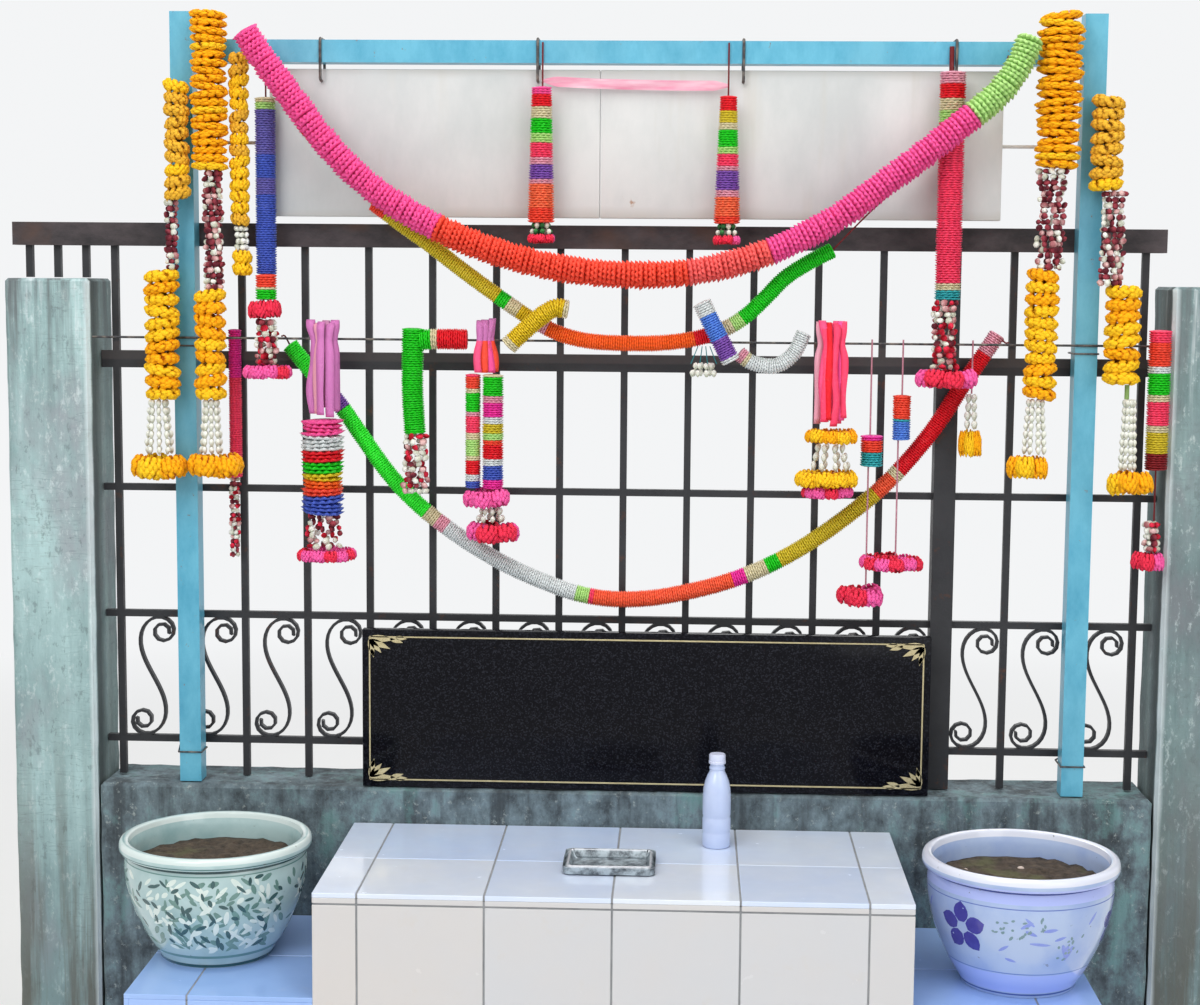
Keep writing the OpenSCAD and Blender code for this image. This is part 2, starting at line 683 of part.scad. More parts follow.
module small_strands() {
    color("#e8486c") {
        strand(wire_end, [["rings", -20, -28, 209, 20], ["string", -20, 209, 297, string_r],
                ["beads", -23, 297, 349, 18], ["rim", -28, 349, 384, 29]], wire_front, 20);
        strand(wire_right, [["string", -311, -8, 87, string_r], ["rings", -311, 87, 164, 16],
                ["string", -316, 164, 364, string_r], ["rim", -323, 364, 390, 56]], wire_front, string_r);
        strand(wire_right, [["string", -364, -8, 156, string_r], ["rings", -361, 156, 210, 20],
                ["string", -366, 210, 417, string_r], ["rim", -374, 417, 452, 43]], wire_front, string_r);
        strand(wire_right, [["string", -193, -8, 84, string_r], ["tassel", -193, 84, 144, 15],
                ["rim", -193, 144, 195, 21]], wire_front, string_r);
        strand(wire_left, [["tube", 79, -14, 246, 12], ["beads", 76, 246, 387, 12]],
               wall_mid - bar_d / 2, 12);
    }
}

left_pier();
right_pier();
low_wall();
altar_block();
altar_top_tiling();
altar_front_tiling();
altar_side_tiling();
left_ledge();
right_ledge();
left_ledge_tiling();
right_ledge_tiling();
name_plaque();
fence_top_rail();
fence_post();
fence_wide_panel();
fence_narrow_panel();
pier_top_pickets();
left_frame_post();
right_frame_post();
frame_beam();
post_ties();
garland_wire();
sign_board();
sign_hooks();
sign_side_ties();
left_pot();
right_pot();
pot_soil();
bottle();
bottle_cap();
offering_tray();
upper_swag();
middle_swag();
lower_swag();
left_outer_garland();
left_inner_garland();
right_inner_garland();
right_outer_garland();
left_blue_garland();
right_red_garland();
sign_garlands();
ribbon_bunches();
looped_tubes();
small_strands();
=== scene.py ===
import math
import random

import bmesh
import bpy
from mathutils import Matrix, Vector


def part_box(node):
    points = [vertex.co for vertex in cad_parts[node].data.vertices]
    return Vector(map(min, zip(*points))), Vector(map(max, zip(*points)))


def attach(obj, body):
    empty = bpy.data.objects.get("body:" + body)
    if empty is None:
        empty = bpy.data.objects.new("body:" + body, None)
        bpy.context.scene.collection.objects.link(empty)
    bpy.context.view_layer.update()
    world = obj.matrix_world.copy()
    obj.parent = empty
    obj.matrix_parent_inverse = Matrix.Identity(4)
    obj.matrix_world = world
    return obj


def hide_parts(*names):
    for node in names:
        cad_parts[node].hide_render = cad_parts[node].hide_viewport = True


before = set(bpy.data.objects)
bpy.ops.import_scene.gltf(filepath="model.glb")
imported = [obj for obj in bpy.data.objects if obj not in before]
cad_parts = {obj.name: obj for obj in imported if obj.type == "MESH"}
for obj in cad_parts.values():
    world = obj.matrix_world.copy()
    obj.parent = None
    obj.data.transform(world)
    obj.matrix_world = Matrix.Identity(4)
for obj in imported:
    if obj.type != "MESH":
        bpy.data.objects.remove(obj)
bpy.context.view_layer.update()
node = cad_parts
bpy.ops.object.select_all(action="DESELECT")
random.seed(7)


# The camera stands at eye height in front of the altar, a little right of its middle, and
# looks slightly left and down.
EYE = Vector((0.1046, -3.4279, 1.5655))
TURN_LEFT, LOOK_DOWN, ROLL = 0.0407, 0.1096, 0.0078
FOCAL_PIXELS, IMAGE_WIDTH = 2079.1, 1200
SENSOR = 36.0

bpy.ops.object.camera_add(location=EYE)
camera = bpy.context.object
forward = Vector((-math.sin(TURN_LEFT) * math.cos(LOOK_DOWN), math.cos(TURN_LEFT) * math.cos(LOOK_DOWN),
                  -math.sin(LOOK_DOWN)))
level_right = Vector((math.cos(TURN_LEFT), math.sin(TURN_LEFT), 0))
level_up = level_right.cross(forward)
right = level_right * math.cos(ROLL) + level_up * math.sin(ROLL)
up = level_up * math.cos(ROLL) - level_right * math.sin(ROLL)
camera.rotation_euler = Matrix((right, up, -forward)).transposed().to_euler()
camera.data.sensor_fit = "HORIZONTAL"
camera.data.sensor_width = SENSOR
camera.data.lens = SENSOR * FOCAL_PIXELS / IMAGE_WIDTH
bpy.context.scene.camera = camera
bpy.context.scene.view_settings.view_transform = "Standard"


# A pale floor that fades into a pale sky, under soft daylight from the front and above.
# The material helpers are here because the floor is the first thing to need them.
FLOOR_SIZE = 60.0
FLOOR_TINT = (0.86, 0.86, 0.85, 1)
SKY_TINT = (0.93, 0.94, 0.95, 1)
SKY_LEVEL = 0.56
PALE = 0.97


class Flow:
    """A value that runs through a material's nodes. Arithmetic on it adds Math nodes."""

    def __init__(self, finish, socket):
        self.finish = finish
        self.socket = socket

    def maths(self, operation, first, second=0.0):
        return self.finish.node("ShaderNodeMath", {"operation": operation}, {0: first, 1: second})

    def __add__(self, other):
        return self.maths("ADD", self, other)

    def __radd__(self, other):
        return self.maths("ADD", other, self)

    def __sub__(self, other):
        return self.maths("SUBTRACT", self, other)

    def __rsub__(self, other):
        return self.maths("SUBTRACT", other, self)

    def __mul__(self, other):
        return self.maths("MULTIPLY", self, other)

    def __rmul__(self, other):
        return self.maths("MULTIPLY", other, self)

    def __truediv__(self, other):
        return self.maths("DIVIDE", self, other)

    def __gt__(self, other):
        return self.maths("GREATER_THAN", self, other)

    def __lt__(self, other):
        return self.maths("LESS_THAN", self, other)

    def power(self, exponent):
        return self.maths("POWER", self, exponent)

    def wave(self):
        return self.maths("SINE", self)

    def remainder(self, size):
        return self.maths("MODULO", self, size)

    def size(self):
        return self.maths("ABSOLUTE", self)

    def largest(self, other):
        return self.maths("MAXIMUM", self, other)


class Finish:
    """A material made of nodes round one Principled shader."""

    def __init__(self, name, **constants):
        self.material = bpy.data.materials.new(name)
        self.material.use_nodes = True
        self.tree = self.material.node_tree
        self.shader = self.tree.nodes["Principled BSDF"]
        for socket, value in constants.items():
            self.shader.inputs[socket.replace("_", " ")].default_value = value

    def node(self, kind, settings=None, inputs=None, output=0):
        made = self.tree.nodes.new(kind)
        for key, value in (settings or {}).items():
            if key == "stops":
                ramp = made.color_ramp
                while len(ramp.elements) < len(value):
                    ramp.elements.new(0.5)
                for element, (place, colour) in zip(ramp.elements, value):
                    element.position = place
                    element.color = colour
            else:
                setattr(made, key, value)
        for key, value in (inputs or {}).items():
            if isinstance(value, Flow):
                self.tree.links.new(value.socket, made.inputs[key])
            else:
                made.inputs[key].default_value = value
        return Flow(self, made.outputs[output])

    def place(self, stretch=(1, 1, 1)):
        here = self.node("ShaderNodeTexCoord", output="Object")
        return self.node("ShaderNodeMapping", {}, {"Vector": here, "Scale": stretch})

    def axis(self, number):
        here = self.node("ShaderNodeTexCoord", output="Object")
        return self.node("ShaderNodeSeparateXYZ", {}, {0: here}, number)

    def noise(self, scale, detail=3.0, stretch=(1, 1, 1), roughness=0.55):
        return self.node("ShaderNodeTexNoise", {}, {
            "Vector": self.place(stretch), "Scale": scale, "Detail": detail, "Roughness": roughness})

    def between(self, value, low, high):
        return self.node("ShaderNodeMapRange", {}, {"Value": value, "From Min": low, "From Max": high})

    def mix(self, first, second, factor):
        return self.node("ShaderNodeMix", {"data_type": "RGBA"}, {0: factor, 6: first, 7: second}, 2)

    def attribute(self, name, output="Fac"):
        return self.node("ShaderNodeAttribute", {"attribute_name": name}, {}, output)

    def drive(self, socket, value):
        self.tree.links.new(value.socket, self.shader.inputs[socket])

    def bump(self, height, distance, strength=1.0):
        self.drive("Normal", self.node("ShaderNodeBump", {}, {
            "Height": height, "Distance": distance, "Strength": strength}))


def glow_for_camera(tree, surface, colour, share=None):
    """Shows the colour itself to the camera, to reflections and through glass, by a share."""
    path = tree.nodes.new("ShaderNodeLightPath")
    seen = tree.nodes.new("ShaderNodeMath")
    seen.operation = "ADD"
    seen.use_clamp = True
    tree.links.new(path.outputs["Is Camera Ray"], seen.inputs[0])
    gloss = tree.nodes.new("ShaderNodeMath")
    gloss.operation = "ADD"
    tree.links.new(path.outputs["Is Glossy Ray"], gloss.inputs[0])
    tree.links.new(path.outputs["Is Transmission Ray"], gloss.inputs[1])
    tree.links.new(gloss.outputs[0], seen.inputs[1])
    lit = tree.nodes.new("ShaderNodeEmission" if share else "ShaderNodeBackground")
    lit.inputs["Color"].default_value = colour
    lit.inputs["Strength"].default_value = PALE
    choose = tree.nodes.new("ShaderNodeMixShader")
    if share:
        part = tree.nodes.new("ShaderNodeMath")
        part.operation = "MULTIPLY"
        tree.links.new(seen.outputs[0], part.inputs[0])
        tree.links.new(share.socket, part.inputs[1])
        seen = part
    tree.links.new(seen.outputs[0], choose.inputs[0])
    tree.links.new(surface, choose.inputs[1])
    tree.links.new(lit.outputs[0], choose.inputs[2])
    return choose.outputs[0]


world = bpy.data.worlds.new("daylight")
world.use_nodes = True
bpy.context.scene.world = world
sky = world.node_tree.nodes["Background"]
sky.inputs["Color"].default_value = (1, 1, 1, 1)
sky.inputs["Strength"].default_value = SKY_LEVEL
world.node_tree.links.new(glow_for_camera(world.node_tree, sky.outputs[0], SKY_TINT),
                          world.node_tree.nodes["World Output"].inputs["Surface"])

bpy.ops.mesh.primitive_plane_add(size=FLOOR_SIZE)
floor = bpy.context.object
floor.name = "floor"
bpy.ops.object.mode_set(mode="EDIT")
bpy.ops.mesh.select_all(action="SELECT")
bpy.ops.mesh.subdivide(number_cuts=7)
bpy.ops.object.mode_set(mode="OBJECT")
floor_paint = Finish("floor_paint", Base_Color=FLOOR_TINT, Roughness=0.9)
floor_paint.drive("Base Color", floor_paint.mix(FLOOR_TINT, (0.83, 0.83, 0.82, 1), floor_paint.noise(3.0)))
away = (floor_paint.axis(0) * floor_paint.axis(0) + floor_paint.axis(1) * floor_paint.axis(1)).power(0.5)
floor_paint.tree.links.new(
    glow_for_camera(floor_paint.tree, floor_paint.shader.outputs[0], SKY_TINT, floor_paint.between(away, 1.6, 5.5)),
    floor_paint.tree.nodes["Material Output"].inputs["Surface"])
floor.data.materials.append(floor_paint.material)


def lamp(name, place, target, size, power):
    """A large soft lamp that faces a point."""
    bpy.ops.object.light_add(type="AREA", location=place)
    light = bpy.context.object
    light.name = name
    light.data.size = size
    light.data.energy = power
    light.rotation_euler = (Vector(target) - Vector(place)).to_track_quat("-Z", "Y").to_euler()


lamp("key_lamp", (-2.2, -4.2, 4.2), (0, 0, 1.1), 2.6, 95)
lamp("fill_lamp", (2.8, -3.6, 2.6), (0, 0, 1.1), 2.6, 34)
lamp("top_lamp", (0.2, -1.2, 4.6), (0, 0, 0.6), 3.0, 85)
lamp("back_lamp", (0.8, 3.4, 3.6), (0, 0, 1.2), 2.4, 50)


# The thick upper swag is ruffles of coloured ribbon, gathered and threaded close together on
# a string that is tied over the beam at both ends. Its colours change from pink to salmon,
# back to pink and, at the right, to light green.
MM = 0.001
WIRE_GAP = 0.3 * MM
post_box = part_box("left_frame_post")
other_post_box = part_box("right_frame_post")
beam_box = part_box("frame_beam")
wire_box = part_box("garland_wire")
FRAME_MIDDLE = (post_box[0].x + other_post_box[1].x) / 2
FRAME_TOP = post_box[1].z
FRAME_FRONT = post_box[0].y
WIRE_HEIGHT = (wire_box[0].z + wire_box[1].z) / 2
STRING_R = 1.5 * MM

UPPER_Y = 0.085
UPPER_ROUTE = [
    (-651, 40), (-621, 85), (-575, 146), (-525, 212), (-474, 267), (-421, 311), (-356, 350), (-289, 382),
    (-216, 408), (-141, 427), (-61, 438), (19, 441), (99, 436), (184, 417), (265, 386), (347, 341),
    (421, 286), (486, 237), (550, 185), (604, 139), (637, 92), (655, 48)]
UPPER_COLOURS = [(0.29, "hot_pink"), (0.56, "salmon"), (0.65, "pale_coral"), (0.90, "hot_pink"),
                 (1.0, "leaf_green")]
UPPER_R = 22.5 * MM

RIBBON_DYES = {
    "hot_pink": (0.98, 0.09, 0.35), "salmon": (0.96, 0.075, 0.035), "leaf_green": (0.47, 0.78, 0.24),
    "olive_yellow": (0.71, 0.56, 0.025), "bright_yellow": (0.78, 0.55, 0.01), "orange": (0.98, 0.13, 0.01),
    "grass_green": (0.008, 0.64, 0.008), "white_crepe": (0.76, 0.80, 0.80), "crimson": (0.84, 0.008, 0.02),
    "cream": (0.74, 0.66, 0.42), "royal_blue": (0.065, 0.12, 0.56), "sky_blue": (0.10, 0.26, 0.80),
    "violet": (0.24, 0.09, 0.46), "rose_red": (1.0, 0.06, 0.155), "pale_coral": (0.96, 0.12, 0.11), "dusty_mauve": (0.50, 0.20, 0.36),
    "neon_green": (0.04, 0.95, 0.04), "warm_coral": (0.97, 0.13, 0.05), "magenta": (0.90, 0.03, 0.38),
    "dark_red": (0.26, 0.01, 0.015), "teal": (0.03, 0.42, 0.46), "pale_pink": (0.82, 0.36, 0.46),
    "violet_blue": (0.15, 0.13, 0.46), "mauve": (0.60, 0.18, 0.46), "rose": (0.97, 0.09, 0.24),
    "coral": (0.98, 0.18, 0.07),
}


def ribbon_finish(name):
    """Thin plastic ribbon: pale patches of fading and painted highlights, and painted shade where it folds in."""
    dye = RIBBON_DYES[name]
    finish = Finish(name, Specular_IOR_Level=0.3)
    deep = tuple(0.56 * c for c in dye) + (1,)
    body = tuple(dye) + (1,)
    faded_and_highlit = tuple(0.86 * c + 0.09 for c in dye) + (1,)
    mottle = finish.noise(75.0, 3.0, roughness=0.7)
    creases = finish.noise(230.0, 3.0, roughness=0.7)
    tip = finish.attribute("tip")
    # Painted shade: the dye darkens towards deep where the ribbon's mark says it folds in or lies near the string.
    shade = finish.mix(deep, body, finish.between(tip * 0.8 + mottle * 0.5, 0.42, 0.92))
    # Pale patches set by noise: partly faded dye, partly painted highlights where folds catch the light.
    finish.drive("Base Color", finish.mix(shade, faded_and_highlit, finish.between(creases * 0.6 + mottle * 0.5, 0.58, 0.74) * 0.55))
    finish.drive("Roughness", finish.between(mottle, 0.2, 0.8) * 0.25 + 0.45)
    finish.bump(creases + mottle, 0.0015, 0.7)
    return finish


dyed = {name: ribbon_finish(name) for name in RIBBON_DYES}


def alone(piece):
    """Leaves only this piece selected and active."""
    bpy.ops.object.select_all(action="DESELECT")
    piece.select_set(True)
    bpy.context.view_layer.objects.active = piece


def pick(piece, wanted):
    """Selects the points of a piece for which wanted(point) is true, and goes into edit mode."""
    alone(piece)
    bpy.ops.object.mode_set(mode="EDIT")
    bpy.ops.mesh.select_mode(type="VERT")
    bpy.ops.mesh.select_all(action="DESELECT")
    bpy.ops.object.mode_set(mode="OBJECT")
    for vertex in piece.data.vertices:
        vertex.select = wanted(vertex.co)
    bpy.ops.object.mode_set(mode="EDIT")


def shape(piece, kind, **settings):
    """Adds a modifier and applies it."""
    alone(piece)
    modifier = piece.modifiers.new(kind.lower(), kind)
    for key, value in settings.items():
        setattr(modifier, key, value)
    bpy.ops.object.modifier_apply(modifier=modifier.name)


def ruffle(name, thickness, folds, depth, frill, jitter):
    """A gathered ruffle of radius 1 with its string along X and its edge folded to and fro."""
    bpy.ops.mesh.primitive_uv_sphere_add(segments=2 * folds, ring_count=6, radius=1.0,
                                         rotation=(0, math.pi / 2, 0), scale=(1, 1, thickness))
    piece = bpy.context.object
    piece.name = name
    bpy.ops.object.transform_apply()

    def fold(co):
        return round(math.atan2(co.z, co.y) / math.tau * 2 * folds) % 2

    def out(co):
        return math.hypot(co.y, co.z)

    deep = [fold(vertex.co) == 1 for vertex in piece.data.vertices]
    pick(piece, lambda co: fold(co) == 1 and out(co) > 0.6)
    bpy.ops.transform.resize(value=(1, 1 - depth, 1 - depth))
    bpy.ops.transform.translate(value=(frill, 0, 0))
    bpy.ops.object.mode_set(mode="OBJECT")
    pick(piece, lambda co: fold(co) == 0 and out(co) > 0.9)
    bpy.ops.transform.translate(value=(-frill, 0, 0))
    bpy.ops.mesh.select_all(action="SELECT")
    bpy.ops.transform.vertex_random(offset=jitter, seed=5)
    bpy.ops.object.mode_set(mode="OBJECT")
    # The mark made here paints shade: it is low in the folds that turn in and towards the string, and high at the outer
    # edge.
    tip = piece.data.attributes.new("tip", "FLOAT", "POINT")
    for vertex, value, inner in zip(piece.data.vertices, tip.data, deep):
        value.value = min(1.0, out(vertex.co)) * (0.6 if inner else 1.0)
    return piece


def smooth_route(points, step):
    """Points along a smooth curve through the given ones, about a step apart."""
    ends = [points[0] * 2 - points[1], *points, points[-1] * 2 - points[-2]]
    line = []
    for a, b, c, d in zip(ends, ends[1:], ends[2:], ends[3:]):
        count = max(1, round((c - b).length / step))
        for k in range(count):
            t = k / count
            line.append(0.5 * (2 * b + (c - a) * t + (2 * a - 5 * b + 4 * c - d) * t ** 2
                               + (3 * b - a - 3 * c + d) * t ** 3))
    return line + [points[-1]]


def run(line):
    """How long a line is."""
    return sum((b - a).length for a, b in zip(line, line[1:]))


def colour_at(stretches, share):
    """The colour of the first stretch that reaches this far along."""
    return next((colour for reach, colour in stretches if share <= reach), stretches[-1][1])


def thread(name, unit, pitch, line, radius, stretches, loose=0.06):
    """Threads copies of a unit, made along X at radius 1, close together on a string along a line.

    The radius is a number or a function of the share of the way along. The copies are turned
    and sized a little unlike each other. Their colours come from the stretches, or by chance
    from a plain list.
    """
    length = run(line)
    count = max(1, round(length / pitch))
    pitch = length / count
    radius_at = radius if callable(radius) else lambda share: radius
    piece = unit.copy()
    piece.data = unit.data.copy()
    piece.name = name
    bpy.context.collection.objects.link(piece)
    per_copy = len(piece.data.vertices)
    shape(piece, "ARRAY", count=count, use_relative_offset=False, use_constant_offset=True,
          constant_offset_displace=(pitch, 0, 0))
    for k in range(count):
        share = (k + 0.5) / count
        swell = radius_at(share) * random.uniform(1 - loose, 1 + loose / 3)
        lean = random.uniform(-0.5, 0.5) * loose * 8
        turn = random.uniform(0, math.tau)
        for vertex in piece.data.vertices[k * per_copy:(k + 1) * per_copy]:
            along = vertex.co.x - k * pitch
            y = vertex.co.y * math.cos(turn) - vertex.co.z * math.sin(turn)
            z = vertex.co.y * math.sin(turn) + vertex.co.z * math.cos(turn)
            vertex.co = (along * pitch + (k + 0.5) * pitch + lean * y * pitch, y * swell, z * swell)
    dyes = [random.choice(stretches) if isinstance(stretches[0], str) else colour_at(stretches, (k + 0.5) / count)
            for k in range(count)]
    names = list(dict.fromkeys(dyes))
    piece.data.materials.clear()
    for dye in names:
        piece.data.materials.append(dyed[dye].material)
    per_copy = len(piece.data.polygons) // count
    for n, face in enumerate(piece.data.polygons):
        face.use_smooth = True
        face.material_index = names.index(dyes[n // per_copy])
    guide = bpy.data.objects.new(name + "_guide", bpy.data.curves.new(name + "_guide", "CURVE"))
    guide.data.dimensions = "3D"
    guide.data.twist_mode = "MINIMUM"
    spline = guide.data.splines.new("POLY")
    spline.points.add(len(line) - 1)
    for point, place in zip(spline.points, line):
        point.co = (*place, 1)
    bpy.context.collection.objects.link(guide)
    shape(piece, "CURVE", object=guide, deform_axis="POS_X")
    bpy.data.objects.remove(guide)
    return piece


def hang(piece, nodes=(), body="root"):
    """The piece rides on the body and stands for these CAD nodes."""
    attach(piece, body)
    if nodes:
        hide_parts(*nodes)
    return piece


def string(name, points, radius, colour):
    """A bare string through a few points."""
    guide = bpy.data.curves.new(name, "CURVE")
    guide.dimensions = "3D"
    guide.bevel_depth = radius
    guide.bevel_resolution = 2
    guide.use_fill_caps = True
    spline = guide.splines.new("POLY")
    line = smooth_route([Vector(p) for p in points], 0.006)
    spline.points.add(len(line) - 1)
    for point, place in zip(spline.points, line):
        point.co = (*place, 1)
    piece = bpy.data.objects.new(name, guide)
    bpy.context.collection.objects.link(piece)
    alone(piece)
    bpy.ops.object.convert(target="MESH")
    piece = bpy.context.object
    piece.data.materials.append(dyed[colour].material)
    hang(piece)
    return piece


def in_plane(route, top, y):
    """A swag's route, given as millimetres right of the frame's middle and below a height."""
    return [Vector((FRAME_MIDDLE + x * MM, y, top - drop * MM)) for x, drop in route]


coarse_ruffle = ruffle("coarse_ruffle", 0.7, 14, 0.16, 0.30, 0.07)
upper_line = smooth_route(in_plane(UPPER_ROUTE, FRAME_TOP, UPPER_Y), 0.01)
upper_swag = thread("upper_swag_ruffles", coarse_ruffle, 0.0075, upper_line, UPPER_R * 1.12, UPPER_COLOURS, 0.07)
hang(upper_swag, ["upper_swag"])
over_beam = beam_box[1].z + WIRE_GAP + STRING_R
tube_middle = (post_box[0].y + post_box[1].y) / 2
upper_strings = [
    string("upper_swag_left_string",
           [(FRAME_MIDDLE - 0.645, tube_middle, over_beam), (FRAME_MIDDLE - 0.652, 0.125, over_beam + 0.006),
            upper_line[0]], STRING_R, "dark_red"),
    string("upper_swag_right_string",
           [(FRAME_MIDDLE + 0.663, tube_middle, over_beam), (FRAME_MIDDLE + 0.658, 0.125, over_beam + 0.006),
            upper_line[-1]], STRING_R, "dark_red")]
run(upper_line)


# The middle swag is made the same way of finer gathers: olive yellow at the left, a long orange
# stretch, and green where it climbs to the right. A thin dark red one ties its left end to the
# beam under the upper swag, and a plain string its right end.
MIDDLE_Y = 0.125
MIDDLE_ROUTE = [
    (-441, 323), (-396, 356), (-344, 393), (-293, 432), (-242, 469), (-199, 499), (-161, 523), (-119, 543),
    (-70, 554), (-11, 557), (49, 556), (109, 548), (159, 531), (194, 509), (227, 478), (260, 444),
    (301, 417), (339, 397)]
MIDDLE_COLOURS = [
    (0.03, "salmon"), (0.295, "olive_yellow"), (0.315, "grass_green"), (0.34, "cream"), (0.39, "bright_yellow"),
    (0.405, "pale_pink"), (0.69, "orange"), (0.72, "crimson"), (0.765, "cream"), (0.785, "leaf_green"),
    (1.0, "grass_green")]
MIDDLE_R = 14.5 * MM
THIN_R = 4 * MM

fine_ruffle = ruffle("fine_ruffle", 0.75, 11, 0.06, 0.22, 0.03)
middle_line = smooth_route(in_plane(MIDDLE_ROUTE, FRAME_TOP, MIDDLE_Y), 0.008)
middle_swag = thread("middle_swag_gathers", fine_ruffle, 0.004, middle_line, MIDDLE_R, MIDDLE_COLOURS, 0.02)
hang(middle_swag, ["middle_swag"])
beam_face = FRAME_FRONT - WIRE_GAP - STRING_R
thin_line = smooth_route(
    [Vector(p) for p in ((FRAME_MIDDLE - 0.645, FRAME_FRONT - WIRE_GAP - THIN_R, FRAME_TOP - 0.062),
                         (FRAME_MIDDLE - 0.610, 0.138, FRAME_TOP - 0.135),
                         (FRAME_MIDDLE - 0.545, 0.132, FRAME_TOP - 0.218),
                         (FRAME_MIDDLE - 0.480, 0.128, FRAME_TOP - 0.281), middle_line[0])], 0.006)
thin_gathers = thread("middle_swag_thin_gathers", fine_ruffle, 0.004, thin_line,
                      lambda share: THIN_R * (2.0 if 0.45 < share < 0.68 else 1.1),
                      [(0.40, "dark_red"), (0.68, "crimson"), (0.90, "dark_red"), (1.0, "salmon")], 0.06)
hang(thin_gathers)
middle_strings = [
    string("middle_swag_right_string",
           [(FRAME_MIDDLE + 0.629, beam_face, FRAME_TOP - 0.070), (FRAME_MIDDLE + 0.614, 0.146, FRAME_TOP - 0.115),
            (FRAME_MIDDLE + 0.549, 0.138, FRAME_TOP - 0.195), (FRAME_MIDDLE + 0.409, 0.130, FRAME_TOP - 0.325),
            middle_line[-1]], STRING_R, "dark_red")]
run(middle_line)


# The lower swag hangs from the wire behind the ribbons: green, white, salmon, yellow and red
# stretches of fine gathers with cream and green ties between them.
LOWER_Y = 0.182
LOWER_ROUTE = [
    (-597, 12), (-562, 55), (-511, 114), (-466, 178), (-422, 238), (-373, 289), (-317, 333), (-264, 368),
    (-211, 397), (-156, 421), (-96, 442), (-34, 452), (34, 450), (104, 437), (169, 419), (236, 392),
    (305, 353), (374, 303), (439, 247), (492, 188), (536, 128), (575, 65), (611, 10), (628, -17)]
LOWER_COLOURS = [
    (0.05, "neon_green"), (0.09, "violet"), (0.235, "neon_green"), (0.25, "cream"), (0.265, "pale_pink"),
    (0.425, "white_crepe"), (0.44, "leaf_green"), (0.445, "rose_red"), (0.60, "warm_coral"), (0.615, "magenta"),
    (0.64, "cream"), (0.655, "grass_green"), (0.785, "olive_yellow"), (0.81, "warm_coral"), (0.82, "cream"),
    (0.975, "crimson"), (1.0, "pale_pink")]
LOWER_R = 15.5 * MM

lower_line = smooth_route(in_plane(LOWER_ROUTE, WIRE_HEIGHT, LOWER_Y), 0.008)
lower_swag = thread("lower_swag_gathers", fine_ruffle, 0.004, lower_line, LOWER_R, LOWER_COLOURS, 0.02)
hang(lower_swag, ["lower_swag"])
over_wire = wire_box[1].z + WIRE_GAP + STRING_R
wire_y = (wire_box[0].y + wire_box[1].y) / 2
lower_strings = [
    string("lower_swag_left_string",
           [(FRAME_MIDDLE - 0.605, wire_y, over_wire), (FRAME_MIDDLE - 0.603, 0.168, over_wire), lower_line[0]],
           STRING_R, "dark_red"),
    string("lower_swag_right_string",
           [(FRAME_MIDDLE + 0.642, wire_y, over_wire), (FRAME_MIDDLE + 0.639, 0.168, over_wire), lower_line[-1]],
           STRING_R, "dark_red")]
run(lower_line)


# The two piers are brick under smooth render, limewashed a pale blue-green. Rain has worn the
# wash into upright streaks and left grey and mossy patches, darkest at the top.
PIER_BEVEL = 6 * MM


def slab(name, low, high, bevel, segments=2):
    """A block between two corners with its edges rounded."""
    low, high = Vector(low), Vector(high)
    bpy.ops.mesh.primitive_cube_add(size=1, location=(low + high) / 2)
    piece = bpy.context.object
    piece.name = name
    piece.scale = high - low
    bpy.ops.object.transform_apply()
    bpy.ops.object.mode_set(mode="EDIT")
    bpy.ops.mesh.select_all(action="SELECT")
    bpy.ops.mesh.bevel(offset=bevel, segments=segments, affect="EDGES")
    bpy.ops.object.mode_set(mode="OBJECT")
    return piece


def cut_across(piece, axis, step):
    """Cuts a piece into bands across one axis."""
    alone(piece)
    places = [vertex.co[axis] for vertex in piece.data.vertices]
    normal = Vector((axis == 0, axis == 1, axis == 2))
    bpy.ops.object.mode_set(mode="EDIT")
    for k in range(1, math.ceil((max(places) - min(places)) / step)):
        bpy.ops.mesh.select_all(action="SELECT")
        bpy.ops.mesh.bisect(plane_co=normal * (min(places) + k * step), plane_no=normal)
    bpy.ops.object.mode_set(mode="OBJECT")


def wear_down(piece, depth, grain, levels=2):
    """Wears the faces of a piece unevenly, inwards only."""
    shape(piece, "SUBSURF", subdivision_type="SIMPLE", levels=levels, render_levels=levels)
    clouds = bpy.data.textures.new(piece.name + "_wear", "CLOUDS")
    clouds.noise_scale = grain
    clouds.noise_depth = 3
    shape(piece, "DISPLACE", texture=clouds, strength=depth, mid_level=1.0)


def coat(piece, *finishes):
    """Gives a piece its finishes and smooths its rounded edges."""
    piece.data.materials.clear()
    for finish in finishes:
        piece.data.materials.append(finish.material)
    alone(piece)
    bpy.ops.object.shade_smooth_by_angle(angle=math.radians(40))


